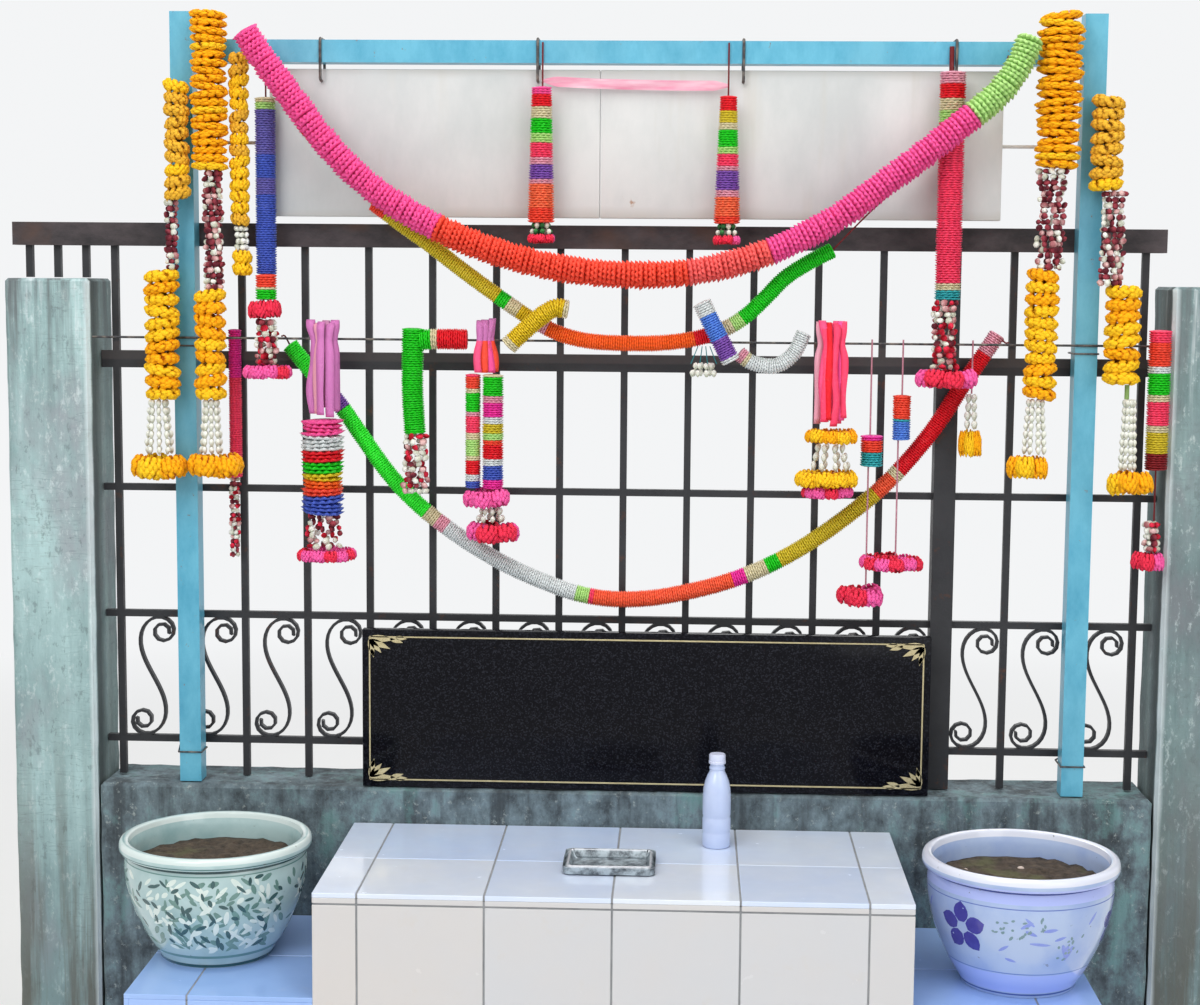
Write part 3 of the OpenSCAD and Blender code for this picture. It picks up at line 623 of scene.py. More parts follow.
def limewash(name, tint, arris, front):
    """Worn limewash on render: runs, trowel marks, grey patches and mould below the top.

    The arris beside the wall, at this x and this y, gets a painted highlight, and the side behind it
    painted shade, darkest near the arris.
    """
    finish = Finish(name, Roughness=0.85)
    streaks = finish.noise(16.0, 6.0, (1, 1, 0.10), 0.7)
    blotches = finish.noise(6.0, 6.0, (1, 1, 0.6), 0.7)
    washed = finish.mix((0.215 * tint, 0.325 * tint, 0.33 * tint, 1), (0.43 * tint, 0.61 * tint, 0.61 * tint, 1),
                        finish.between(streaks * 0.5 + blotches * 0.5, 0.40, 0.60))
    lilac = finish.between(finish.noise(4.5, 5.0, (1, 1, 0.5), 0.65), 0.52, 0.64)
    washed = finish.mix(washed, (0.30 * tint, 0.32 * tint, 0.35 * tint, 1), lilac * 0.75)
    grains = finish.noise(70.0, 5.0, (1, 1, 0.5), 0.75)
    washed = finish.mix(washed, (0.70, 0.80, 0.80, 1), finish.between(grains, 0.56, 0.68) * 0.5)
    washed = finish.mix(washed, (0.12, 0.16, 0.165, 1), finish.between(grains, 0.42, 0.34) * 0.5)
    marks = finish.noise(26.0, 3.0, (0.25, 0.25, 2.6), 0.6)
    trowel = finish.between((marks - 0.5).size(), 0.012, 0.004) * finish.between(blotches, 0.44, 0.54)
    washed = finish.mix(washed, (0.14, 0.19, 0.19, 1), trowel * 0.35)
    runs = finish.noise(34.0, 4.0, (1, 1, 0.05), 0.65)
    below_top = finish.between(finish.axis(2) + streaks * 0.30, 1.42, 1.68)
    washed = finish.mix(washed, (0.13, 0.155, 0.16, 1), finish.between(runs, 0.46, 0.60) * below_top)
    washed = finish.mix(washed, (0.74, 0.80, 0.82, 1), finish.between(runs, 0.44, 0.36) * below_top * 0.6)
    low_down = finish.between(finish.axis(2) + blotches * 0.4, 1.05, 0.45)
    washed = finish.mix(washed, (0.16 * tint, 0.215 * tint, 0.21 * tint, 1), low_down * 0.45)
    low_stain = finish.between(finish.axis(2) - streaks * 0.7, 0.50, -0.10)
    washed = finish.mix(washed, (0.11, 0.105, 0.085, 1), finish.between(runs, 0.42, 0.56) * low_stain * 0.85)
    across, back = (finish.axis(0) - arris).size(), finish.axis(1) - front
    # Painted shade on the side face behind the arris, darkest close to it.
    painted_side_shade = finish.between(across, 0.012, 0.006) * finish.between(back, 0.010, 0.018)
    washed = finish.mix(washed, (0.10, 0.125, 0.13, 1), painted_side_shade * 0.45)
    washed = finish.mix(washed, (0.035, 0.045, 0.045, 1), painted_side_shade * finish.between(back, 0.075, 0.035) * 0.75)
    # A painted highlight along the arris.
    painted_arris_highlight = finish.between(across + back + (streaks - 0.5) * 0.012, 0.016, 0.006)
    washed = finish.mix(washed, (0.72, 0.80, 0.82, 1), painted_arris_highlight * 0.8)
    finish.drive("Base Color", washed)
    finish.bump(blotches + grains * 0.6, 0.004, 0.8)
    return finish


for side, tint, inner in (("left_pier", 1.0, 1), ("right_pier", 0.62, 0)):
    arris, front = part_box(side)[inner].x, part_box(side)[0].y
    pier = slab(side + "_render", *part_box(side), PIER_BEVEL, 1)
    cut_across(pier, 2, 0.08)
    wear_down(pier, 4 * MM, 0.06)
    coat(pier, limewash(side + "_wash", tint, arris, front))
    hang(pier, [side])


# The low wall between the piers is brick under bare cement render, nearly black with age, with
# green and teal growth where water runs down it. The altar is built against its front.
wall_cement = Finish("wall_cement", Roughness=0.92)
growth = wall_cement.noise(14.0, 7.0, (1, 1, 0.7), 0.72)
damp = wall_cement.noise(4.0, 4.0, (1, 1, 0.5))
cement = wall_cement.mix((0.045, 0.058, 0.066, 1), (0.20, 0.27, 0.30, 1), wall_cement.between(growth, 0.36, 0.60))
drips = wall_cement.noise(24.0, 4.0, (1, 1, 0.08), 0.65)
cement = wall_cement.mix(cement, (0.03, 0.035, 0.04, 1), wall_cement.between(drips, 0.50, 0.66) * 0.7)
cement = wall_cement.mix(cement, (0.13, 0.29, 0.27, 1), wall_cement.between(growth + damp * 0.4, 0.73, 0.88) * 0.6)
pale_specks = wall_cement.noise(75.0, 4.0, roughness=0.75)
cement = wall_cement.mix(cement, (0.42, 0.47, 0.45, 1), wall_cement.between(pale_specks, 0.60, 0.72) * 0.7)
wall_cement.drive("Base Color", cement)
wall_cement.bump(growth + pale_specks * 0.6, 0.004, 0.8)

low_wall = slab("low_wall_render", *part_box("low_wall"), 7 * MM, 1)
cut_across(low_wall, 0, 0.075)
cut_across(low_wall, 2, 0.10)
wear_down(low_wall, 5 * MM, 0.05, 2)
coat(low_wall, wall_cement)
hang(low_wall, ["low_wall"])


# The altar and its two side ledges are blocks of masonry faced with glazed tiles 200 mm
# square, set from the middle outwards and cut at the ends, with thin grey grout between.
TILE = 0.200
GROUT = 3 * MM
GROUT_DEPTH = 1.2 * MM
TILE_EDGE = 1.0 * MM
altar_top_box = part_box("altar_top_tiling")
altar_front_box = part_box("altar_front_tiling")
altar_side_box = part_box("altar_side_tiling")


def tiled(name, low, high, joints, outside):
    """Tiles between two corners, parted at the joints of each axis, on a bed of grout."""
    low, high, outside = Vector(low), Vector(high), Vector(outside)
    spans = []
    for axis in range(3):
        lines = [low[axis], *joints[axis], high[axis]]
        spans.append([(a + (GROUT / 2 if k else 0), b - (GROUT / 2 if k < len(joints[axis]) else 0))
                      for k, (a, b) in enumerate(zip(lines, lines[1:]))])
    bed_low = low + Vector([GROUT_DEPTH * (v <= 0) for v in outside])
    bed_high = high - Vector([GROUT_DEPTH * (v >= 0) for v in outside])
    made = [slab(name + "_bed", bed_low, bed_high, 0.2 * MM, 1)]
    made[0].data.materials.append(grout.material)
    tone = made[0].data.attributes.new("tone", "FLOAT", "POINT")
    for x in spans[0]:
        for y in spans[1]:
            for z in spans[2]:
                tile = slab(name + "_tile", (x[0], y[0], z[0]), (x[1], y[1], z[1]), TILE_EDGE, 2)
                tile.data.materials.append(tile_finish.material)
                tone = tile.data.attributes.new("tone", "FLOAT", "POINT")
                shade = random.random()
                for value in tone.data:
                    value.value = shade
                made.append(tile)
    return made


def join(name, pieces):
    """Joins pieces into one."""
    bpy.ops.object.select_all(action="DESELECT")
    for piece in pieces:
        piece.select_set(True)
    bpy.context.view_layer.objects.active = pieces[0]
    bpy.ops.object.join()
    pieces[0].name = name
    return pieces[0]


def glazed_tile(name, warm, cool, stain):
    """Glazed ceramic with a soft change of tone from tile to tile and faint marbling."""
    finish = Finish(name, Roughness=0.16, Coat_Weight=0.3, Coat_Roughness=0.08)
    tone = finish.attribute("tone")
    cloud = finish.noise(6.0, 4.0)
    body = finish.mix(warm, cool, finish.between(tone * 0.5 + cloud * 0.9, 0.35, 1.05))
    body = finish.mix(body, stain, finish.between(finish.noise(17.0, 5.0, roughness=0.7), 0.60, 0.85) * 0.35)
    finish.drive("Base Color", body)
    finish.drive("Roughness", finish.between(finish.noise(35.0, 4.0), 0.4, 0.8) * 0.2 + 0.12)
    finish.bump(finish.noise(3.5, 2.0), 0.002, 0.25)
    return finish


grout = Finish("grout", Roughness=0.95)
grout.drive("Base Color", grout.mix((0.16, 0.17, 0.18, 1), (0.36, 0.37, 0.38, 1), grout.noise(30.0, 3.0)))
grout.bump(grout.noise(500.0, 2.0), 0.0006)
masonry = Finish("masonry", Roughness=0.95)
masonry.drive("Base Color", masonry.mix((0.22, 0.21, 0.20, 1), (0.40, 0.39, 0.37, 1), masonry.noise(20.0, 5.0)))
masonry.bump(masonry.noise(120.0, 4.0), 0.002)


def repaint(finish, *names):
    """Gives CAD nodes whose shape is right their finish."""
    for name in names:
        for held in node[name].material_slots:
            held.material = finish.material


repaint(masonry, "altar_block", "left_ledge", "right_ledge")
upright_joints = [-2 * TILE, -TILE, 0, TILE, 2 * TILE]
top_depth_joints = [altar_top_box[0].y + TILE, altar_top_box[0].y + 2 * TILE]
trim_z = altar_front_box[1].z - 10 * MM
front_rows = [trim_z - 2 * TILE, trim_z - TILE, trim_z]
tile_finish = glazed_tile("altar_tile", (0.64, 0.61, 0.59, 1), (0.60, 0.61, 0.635, 1), (0.62, 0.55, 0.45, 1))
altar_front = join("altar_front", tiled(
    "altar_front", *altar_front_box, [upright_joints, [], front_rows], (0, -1, 0)))
hang(altar_front, ["altar_front_tiling"])
side_w = altar_top_box[1].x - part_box("altar_block")[1].x
side_low, side_high = altar_side_box
altar_sides = join("altar_sides", [
    *tiled("altar_left", side_low, (side_low.x + side_w, side_high.y, side_high.z),
           [[], top_depth_joints[:1], front_rows], (-1, 0, 0)),
    *tiled("altar_right", (side_high.x - side_w, side_low.y, side_low.z), side_high,
           [[], top_depth_joints[:1], front_rows], (1, 0, 0))])
hang(altar_sides, ["altar_side_tiling"])
tile_finish = glazed_tile("altar_top_tile", (0.77, 0.82, 0.89, 1), (0.57, 0.69, 0.93, 1), (0.70, 0.70, 0.72, 1))
altar_top = join("altar_top", tiled(
    "altar_top", *altar_top_box, [upright_joints, top_depth_joints[:1], []], (0, 0, 1)))
hang(altar_top, ["altar_top_tiling"])

tile_finish = glazed_tile("ledge_tile", (0.30, 0.47, 0.84, 1), (0.38, 0.55, 0.92, 1), (0.46, 0.56, 0.76, 1))
for name, outward in (("left_ledge_tiling", -1), ("right_ledge_tiling", 1)):
    low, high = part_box(name)
    top_z = high.z - side_w
    inner, outer = (high.x, low.x) if outward < 0 else (low.x, high.x)
    skin_x = sorted((outer, outer - outward * side_w))
    front_x = sorted((inner, outer - outward * side_w))
    joint_x = inner + outward * TILE
    rows = [top_z - 2 * TILE, top_z - TILE]
    pieces = tiled(name + "_top", (low.x, low.y, top_z), high,
                   [[joint_x], [low.y + TILE], []], (0, 0, 1))
    pieces += tiled(name + "_front", (front_x[0], low.y, low.z), (front_x[1], low.y + side_w, top_z),
                    [[joint_x], [], rows], (0, -1, 0))
    pieces += tiled(name + "_end", (skin_x[0], low.y, low.z), (skin_x[1], high.y, top_z),
                    [[], [low.y + TILE], rows], (outward, 0, 0))
    ledge = join(name.replace("tiling", "tiles"), pieces)
    hang(ledge, [name])


# The name plaque is a slab of polished black granite that stands on the low wall. A thin gilt
# line runs round it with a leafy ornament in each corner; its middle is left bare.
plaque_low, plaque_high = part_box("name_plaque")
GILT_PROUD = 0.8 * MM
LINE_INSET = 13 * MM
LINE_WIDTH = 2.6 * MM
ORNAMENT_LENGTH, ORNAMENT_HEIGHT = 0.070, 0.034

granite = Finish("black_granite", Roughness=0.14, Specular_IOR_Level=0.09)
crystals = granite.node("ShaderNodeTexVoronoi", {}, {"Vector": granite.place(), "Scale": 480.0}, 1)
flecks = granite.node("ShaderNodeSeparateColor", {}, {0: crystals})
granite.drive("Base Color", granite.mix((0.004, 0.004, 0.006, 1), (0.020, 0.021, 0.028, 1),
                                        granite.between(flecks, 0.6, 1.0)))
granite.drive("Roughness", granite.between(granite.noise(9.0, 4.0), 0.4, 0.8) * 0.18 + 0.08)
gilt = Finish("gilding", Metallic=0.75, Roughness=0.38)
gilt.drive("Base Color", gilt.mix((0.42, 0.34, 0.17, 1), (0.72, 0.64, 0.40, 1), gilt.noise(90.0, 4.0)))
gilt.bump(gilt.noise(300.0, 3.0), 0.0005, 0.6)

plaque = slab("name_plaque_slab", (plaque_low.x, plaque_low.y + GILT_PROUD, plaque_low.z), plaque_high, 1.5 * MM)
coat(plaque, granite)
hang(plaque, ["name_plaque"])
plaque_middle = (plaque_low + plaque_high) / 2
gilt_y = (plaque_low.y, plaque_low.y + GILT_PROUD + 0.3 * MM)
line_x = (plaque_low.x + LINE_INSET, plaque_high.x - LINE_INSET)
line_z = (plaque_low.z + LINE_INSET, plaque_high.z - LINE_INSET)
bars = []
for z in line_z:
    bars.append(slab("gilt_line", (line_x[0], gilt_y[0], z - LINE_WIDTH / 2),
                     (line_x[1], gilt_y[1], z + LINE_WIDTH / 2), 0.3 * MM, 1))
for x in line_x:
    bars.append(slab("gilt_line", (x - LINE_WIDTH / 2, gilt_y[0], line_z[0]),
                     (x + LINE_WIDTH / 2, gilt_y[1], line_z[1]), 0.3 * MM, 1))


def leaf_plate(name, length, width, start, turn):
    """A pointed flat leaf that lies on the plaque's face."""
    bpy.ops.mesh.primitive_circle_add(vertices=16, radius=1, fill_type="NGON", rotation=(math.pi / 2, 0, 0))
    leaf = bpy.context.object
    leaf.name = name
    leaf.scale = (length / 2, width / 2, 1)
    bpy.ops.object.transform_apply()
    for vertex in leaf.data.vertices:
        share = vertex.co.x / length + 0.5
        vertex.co.z *= 1.35 * max(0.0, 1 - share) ** 0.6 if share > 0.35 else 1
    bpy.ops.object.mode_set(mode="EDIT")
    bpy.ops.mesh.select_all(action="SELECT")
    bpy.ops.mesh.extrude_region_move(TRANSFORM_OT_translate={"value": (0, GILT_PROUD + 0.3 * MM, 0)})
    bpy.ops.mesh.select_all(action="SELECT")
    bpy.ops.mesh.normals_make_consistent(inside=False)
    bpy.ops.object.mode_set(mode="OBJECT")
    swing = Matrix.Rotation(-turn, 4, "Y")
    leaf.data.transform(Matrix.Translation((start[0], gilt_y[0], start[1])) @ swing
                        @ Matrix.Translation((length / 2, 0, 0)))
    return leaf


corner_leaves = []
for length, width, dx, dz, turn in (
        (0.046, 0.013, 0.000, 0.002, 0.05), (0.040, 0.012, 0.000, 0.005, 0.42), (0.030, 0.011, 0.001, 0.006, 0.85),
        (0.034, 0.011, 0.000, 0.004, 1.35), (0.024, 0.009, 0.036, 0.003, 0.30), (0.020, 0.008, 0.046, 0.001, 0.10),
        (0.014, 0.007, 0.003, 0.022, 1.25)):
    corner_leaves.append(leaf_plate("gilt_leaf", length, width, (dx, dz), turn))
corner = join("gilt_corner", corner_leaves)
corners = []
for flip_x, x in ((1, line_x[0]), (-1, line_x[1])):
    for flip_z, z in ((1, line_z[0]), (-1, line_z[1])):
        copy = corner.copy()
        copy.data = corner.data.copy()
        bpy.context.collection.objects.link(copy)
        copy.data.transform(Matrix.Translation((x, 0, z)) @ Matrix.Diagonal((flip_x, 1, flip_z, 1)))
        if flip_x * flip_z < 0:
            copy.data.flip_normals()
        corners.append(copy)
bpy.data.objects.remove(corner)
gilding = join("name_plaque_gilding", bars + corners)
coat(gilding, gilt)
hang(gilding)


# The fence on the wall is forged iron bars with S scrolls in its lowest band, painted black
# and rusting. Its top and second rails and its post are thicker and have weathered grey-brown.
iron = Finish("fence_iron", Roughness=0.55, Specular_IOR_Level=0.4)
rust = iron.noise(28.0, 6.0, roughness=0.7)
painted = iron.mix((0.012, 0.013, 0.016, 1), (0.035, 0.036, 0.04, 1), iron.noise(9.0, 3.0))
painted = iron.mix(painted, (0.12, 0.045, 0.02, 1), iron.between(rust, 0.60, 0.74) * 0.8)
near_second_rail = iron.between((iron.axis(2) - 1.425).size(), 0.017, 0.014)
painted = iron.mix(painted, iron.mix((0.026, 0.024, 0.026, 1), (0.08, 0.07, 0.07, 1), rust), near_second_rail * 0.9)
iron.drive("Base Color", painted)
iron.drive("Roughness", iron.between(rust, 0.3, 0.8) * 0.4 + 0.4)
iron.bump(rust, 0.0012, 0.6)
rail_iron = Finish("rail_iron", Roughness=0.8)
flakes = rail_iron.noise(22.0, 7.0, (0.5, 1, 1), 0.72)
grey_brown = rail_iron.mix((0.022, 0.019, 0.021, 1), (0.070, 0.056, 0.060, 1), rail_iron.between(flakes, 0.35, 0.65))
grey_brown = rail_iron.mix(grey_brown, (0.085, 0.042, 0.028, 1), rail_iron.between(rail_iron.noise(7.0, 5.0), 0.58, 0.7) * 0.7)
rail_iron.drive("Base Color", grey_brown)
rail_iron.bump(flakes, 0.0015, 0.7)
repaint(iron, "fence_wide_panel", "fence_narrow_panel", "pier_top_pickets", "fence_post")
repaint(rail_iron, "fence_top_rail")


# The garland frame is steel tube in sky-blue paint: two posts standing on the wall, tied to
# the fence with black wire, and a beam between them. The garlands hang from a tight wire.
frame_paint = Finish("frame_paint", Roughness=0.38, Coat_Weight=0.15)
scuffs = frame_paint.noise(24.0, 6.0, (1, 1, 0.5), 0.7)
blue = frame_paint.mix((0.06, 0.33, 0.49, 1), (0.125, 0.45, 0.61, 1), frame_paint.between(scuffs, 0.3, 0.62))
chips = frame_paint.between(frame_paint.noise(60.0, 5.0, roughness=0.75), 0.66, 0.70)
blue = frame_paint.mix(blue, (0.20, 0.10, 0.06, 1), chips)
dusty = frame_paint.between(frame_paint.noise(5.0, 3.0, (1, 1, 0.4)), 0.5, 0.75)
blue = frame_paint.mix(blue, (0.20, 0.40, 0.47, 1), dusty * 0.3)
frame_paint.drive("Base Color", blue)
frame_paint.drive("Roughness", frame_paint.between(scuffs, 0.3, 0.7) * 0.3 + 0.3)
frame_paint.bump(chips * -1 + scuffs * 0.3, 0.0004, 0.6)
repaint(frame_paint, "left_frame_post", "right_frame_post", "frame_beam")
wire_finish = Finish("tie_wire", Metallic=0.6, Roughness=0.5)
wire_finish.drive("Base Color", wire_finish.mix((0.05, 0.05, 0.055, 1), (0.22, 0.19, 0.16, 1),
                                                wire_finish.between(wire_finish.noise(60.0, 4.0), 0.45, 0.7)))
wire_finish.bump(wire_finish.noise(400.0, 2.0), 0.0003)
repaint(wire_finish, "post_ties", "garland_wire", "sign_hooks")


# The sign is two white-painted sheets butted at a seam, hung under the beam by bent wire hooks
# and held to the posts by a thin white rod each side. It is bare, with dirt and rust stains.
SIGN_SEAM_X = -0.046
SEAM = 1.2 * MM
sign_low, sign_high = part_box("sign_board")
hook_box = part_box("sign_hooks")
sign_white = Finish("sign_paint", Roughness=0.45)
grime = sign_white.noise(4.0, 6.0, (1, 1, 0.5), 0.65)
white = sign_white.mix((0.50, 0.52, 0.515, 1), (0.65, 0.65, 0.64, 1), sign_white.between(grime, 0.35, 0.62))
runs = sign_white.noise(16.0, 4.0, (1, 1, 0.1), 0.6)
white = sign_white.mix(white, (0.52, 0.50, 0.44, 1), sign_white.between(runs, 0.60, 0.76) * 0.5)
# Darker along the top and bottom edges of the sign.
darker_edges = sign_white.between((sign_white.axis(2) - (sign_low.z + sign_high.z) / 2).size() + grime * 0.04, 0.128, 0.15)
white = sign_white.mix(white, (0.40, 0.38, 0.33, 1), darker_edges * 0.6)
rust_spots = sign_white.between(sign_white.noise(11.0, 6.0, roughness=0.72), 0.70, 0.75)
white = sign_white.mix(white, (0.36, 0.16, 0.06, 1), rust_spots * 0.8)
sign_white.drive("Base Color", white)
sign_white.drive("Roughness", sign_white.between(grime, 0.3, 0.7) * 0.3 + 0.35)
sign_white.bump(sign_white.noise(2.2, 2.0), 0.004, 0.3)
sheets = [slab("sign_sheet", sign_low, (SIGN_SEAM_X - SEAM / 2, sign_high.y, sign_high.z), 1.6 * MM),
          slab("sign_sheet", (SIGN_SEAM_X + SEAM / 2, sign_low.y, sign_low.z), sign_high, 1.6 * MM)]
sign = join("sign_sheets", sheets)
coat(sign, sign_white)
hang(sign, ["sign_board"])
rod_finish = Finish("side_rod", Roughness=0.5)
rod_finish.drive("Base Color", rod_finish.mix((0.45, 0.44, 0.42, 1), (0.78, 0.78, 0.76, 1), rod_finish.noise(30.0, 4.0)))
repaint(rod_finish, "sign_side_ties")


# Two glazed stoneware pots stand on the ledges. The left one is celadon green with darker
# bamboo leaves brushed on; the right one is pale blue with blue bands and a dark blue flower.
POT_STEPS = 96
POT_SHAPE = [
    (0.0, 0.0), (0.50, 0.0), (0.575, 0.0), (0.59, 0.012), (0.597, 0.04), (0.648, 0.10), (0.70, 0.16), (0.752, 0.24),
    (0.80, 0.32), (0.843, 0.40), (0.88, 0.48), (0.908, 0.56), (0.93, 0.64), (0.942, 0.71), (0.945, 0.78),
    (0.94, 0.83), (0.928, 0.862), (0.922, 0.884), (0.95, 0.893), (0.983, 0.902), (0.998, 0.922), (1.0, 0.945),
    (0.994, 0.975), (0.98, 0.993), (0.955, 1.0), (0.925, 0.998), (0.905, 0.99), (0.893, 0.965), (0.885, 0.93),
    (0.868, 0.88), (0.872, 0.80), (0.868, 0.66), (0.80, 0.42), (0.70, 0.25), (0.5, 0.11), (0.0, 0.08)]


def turned(name, profile, foot, steps=POT_STEPS):
    """Turns a profile of radius and height pairs round an upright axis."""
    mesh = bpy.data.meshes.new(name)
    mesh.from_pydata([(r, 0, z) for r, z in profile], [(k, k + 1) for k in range(len(profile) - 1)], [])
    piece = bpy.data.objects.new(name, mesh)
    bpy.context.collection.objects.link(piece)
    alone(piece)
    bpy.ops.object.mode_set(mode="EDIT")
    bpy.ops.mesh.select_all(action="SELECT")
    bpy.ops.mesh.spin(steps=steps, angle=math.tau, center=(0, 0, 0), axis=(0, 0, 1))
    bpy.ops.mesh.select_all(action="SELECT")
    bpy.ops.mesh.remove_doubles(threshold=0.00001)
    bpy.ops.mesh.normals_make_consistent(inside=False)
    bpy.ops.object.mode_set(mode="OBJECT")
    piece.location = foot
    bpy.ops.object.transform_apply()
    return piece


def stoneware(name, pale, deep, box, bands):
    """Glaze that pools darker in places, with rings painted outside at shares of the height."""
    foot_z, height, radius = box[0].z, box[1].z - box[0].z, (box[1].x - box[0].x) / 2
    finish = Finish(name, Roughness=0.14, Coat_Weight=0.5, Coat_Roughness=0.05)
    pool = finish.noise(13.0, 5.0)
    glaze = finish.mix(pale, deep, finish.between(pool, 0.42, 0.70))
    up = finish.axis(2)
    across = finish.axis(0) - (box[0].x + box[1].x) / 2
    deep_in = finish.axis(1) - (box[0].y + box[1].y) / 2
    outside = finish.between((across * across + deep_in * deep_in).power(0.5), 0.895 * radius, 0.905 * radius)
    for share, width, colour in bands:
        ring = finish.between((up - (foot_z + share * height)).size() + pool * 0.0012, width + 0.0006, width)
        ring = ring * outside if 0.5 < share < 0.95 else ring
        glaze = finish.mix(glaze, colour, ring)
    glaze = finish.mix(glaze, (0.10, 0.09, 0.07, 1), finish.between(finish.noise(95.0, 4.0), 0.70, 0.74) * 0.6)
    finish.drive("Base Color", glaze)
    finish.bump(finish.noise(20.0, 2.0), 0.001, 0.2)
    return finish


def pot_from(name, box, finish):
    """A pot with the shared shape that fills a CAD pot's box."""
    low, high = box
    radius, height = (high.x - low.x) / 2, high.z - low.z
    middle = Vector(((low.x + high.x) / 2, (low.y + high.y) / 2, low.z))
    pot = turned(name, [(r * radius, z * height) for r, z in POT_SHAPE], middle)
    coat(pot, finish)
    hang(pot, [name.replace("_glazed", "")])
    return middle, radius, height


def pot_radius(share):
    """The outside radius of the pot shape at a share of its height, as a share of its rim."""
    for (r0, z0), (r1, z1) in zip(POT_SHAPE[3:], POT_SHAPE[4:]):
        if z0 <= share <= z1:
            return r0 + (r1 - r0) * (share - z0) / (z1 - z0)
    return 0.945


def brushed(name, pot, strokes, finish, proud=0.25 * MM):
    """Brush strokes on a pot, as thin shells: each is angle, height share, length, width, lean."""
    middle, radius, height = pot
    points, faces = [], []
    for angle, share, length, width, lean in strokes:
        start = len(points)
        rows = 6
        for k in range(rows):
            t = k / (rows - 1)
            spread = math.sin(math.pi * min(1, 0.08 + 0.92 * t)) ** 0.7 * width / 2
            for side in (-1, 0, 1):
                along, across = t * length, side * spread
                u = along * math.cos(lean) - across * math.sin(lean)
                v = along * math.sin(lean) + across * math.cos(lean)
                at = share + v / height
                r = pot_radius(at) * radius + proud
                a = math.radians(angle) + u / r
                points.append((middle.x + r * math.cos(a), middle.y + r * math.sin(a), middle.z + at * height))
            if k:
                base = start + 3 * (k - 1)
                faces += [(base, base + 3, base + 4, base + 1), (base + 1, base + 4, base + 5, base + 2)]
    mesh = bpy.data.meshes.new(name)
    mesh.from_pydata(points, [], faces)
    piece = bpy.data.objects.new(name, mesh)
    bpy.context.collection.objects.link(piece)
    shape(piece, "SOLIDIFY", thickness=0.4 * MM, offset=-1)
    coat(piece, finish)
    hang(piece)


# The dark ring at 0.02 of the height is painted shadow at the pot's foot.
celadon = stoneware("celadon_glaze", (0.46, 0.62, 0.62, 1), (0.30, 0.47, 0.48, 1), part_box("left_pot"),
                    [(0.885, 0.0034, (0.015, 0.07, 0.075, 1)), (0.02, 0.0030, (0.02, 0.09, 0.09, 1)),
                     (0.918, 0.0014, (0.08, 0.19, 0.19, 1)), (0.845, 0.0012, (0.12, 0.27, 0.25, 1)),
                     (0.975, 0.005, (0.66, 0.76, 0.74, 1)), (0.11, 0.003, (0.14, 0.30, 0.27, 1))])
left_pot = pot_from("left_pot_glazed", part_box("left_pot"), celadon)
BRUSHES = {"leaves": ((0.07, 0.17, 0.15, 1), (0.20, 0.36, 0.32, 1), 0.20 * MM),
           "lights": ((0.60, 0.72, 0.66, 1), (0.82, 0.90, 0.86, 1), 0.28 * MM),
           "shades": ((0.012, 0.05, 0.055, 1), (0.05, 0.14, 0.14, 1), 0.36 * MM)}
strokes = {kind: [] for kind in BRUSHES}
for column in range(62):
    open_ground = column % 20 in (0, 1, 2, 3, 4)
    for row in range(12):
        kind = random.choice(["leaves", "leaves", "leaves", "lights", "lights", "lights", "shades", "shades"])
        if open_ground and random.random() < 0.75:
            continue
        angle = -150 + column * 5.8 + 2.9 * (row % 2) + random.uniform(-2, 2)
        share = 0.81 - 0.054 * row + random.uniform(-0.015, 0.015)
        lean = random.choice([-0.5, -0.9, -1.5, -2.3, -2.7]) + random.uniform(-0.3, 0.3)
        length = random.uniform(0.014, 0.028) * (0.8 if kind == "shades" else 1)
        if 0.15 < share + length * math.sin(lean) / 0.2 < 0.84:
            width = random.uniform(0.0055, 0.0095) * (0.85 if kind == "shades" else 1)
            strokes[kind].append((angle, share, length, width, lean))
for kind, (dark, light, proud) in BRUSHES.items():
    brush = Finish("celadon_" + kind, Roughness=0.18, Coat_Weight=0.5)
    brush.drive("Base Color", brush.mix(dark, light, brush.noise(60.0, 3.0)))
    brushed("left_pot_" + kind, left_pot, strokes[kind], brush, proud)

PERIWINKLE = (0.24, 0.32, 0.80, 1)
blue_white = stoneware("blue_white_glaze", (0.42, 0.53, 0.76, 1), (0.31, 0.42, 0.72, 1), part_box("right_pot"),
                       [(0.86, 0.013, (0.42, 0.50, 0.90, 1)), (0.885, 0.0022, (0.03, 0.06, 0.32, 1)),
                        (0.765, 0.0012, (0.10, 0.16, 0.50, 1)), (0.13, 0.018, (0.40, 0.50, 0.92, 1)),
                        (0.225, 0.0012, (0.12, 0.20, 0.55, 1)), (0.03, 0.0016, (0.05, 0.10, 0.35, 1)),
                        (0.975, 0.006, (0.72, 0.75, 0.86, 1))])
right_pot = pot_from("right_pot_glazed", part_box("right_pot"), blue_white)
indigo = Finish("indigo_brush", Roughness=0.16, Coat_Weight=0.5)
indigo.drive("Base Color", indigo.mix((0.022, 0.018, 0.24, 1), (0.07, 0.06, 0.40, 1), indigo.noise(70.0, 3.0)))
flower_angle, flower_share = -137.0, 0.555
petals = []
for round_pot in (0, 120, 240):
    for k in range(5):
        lean = math.radians(18 + 72 * k)
        reach = 0.0095
        petals.append((flower_angle + round_pot + math.degrees(reach * math.cos(lean) / 0.14),
                       flower_share + reach * math.sin(lean) / 0.21, 0.034, 0.0285, lean))
brushed("right_pot_flowers", right_pot, petals, indigo)
pale_blue = Finish("pale_blue_brush", Roughness=0.16, Coat_Weight=0.5)
pale_blue.drive("Base Color", pale_blue.mix((0.14, 0.20, 0.66, 1), (0.30, 0.38, 0.78, 1), pale_blue.noise(70.0, 3.0)))
wisps = []
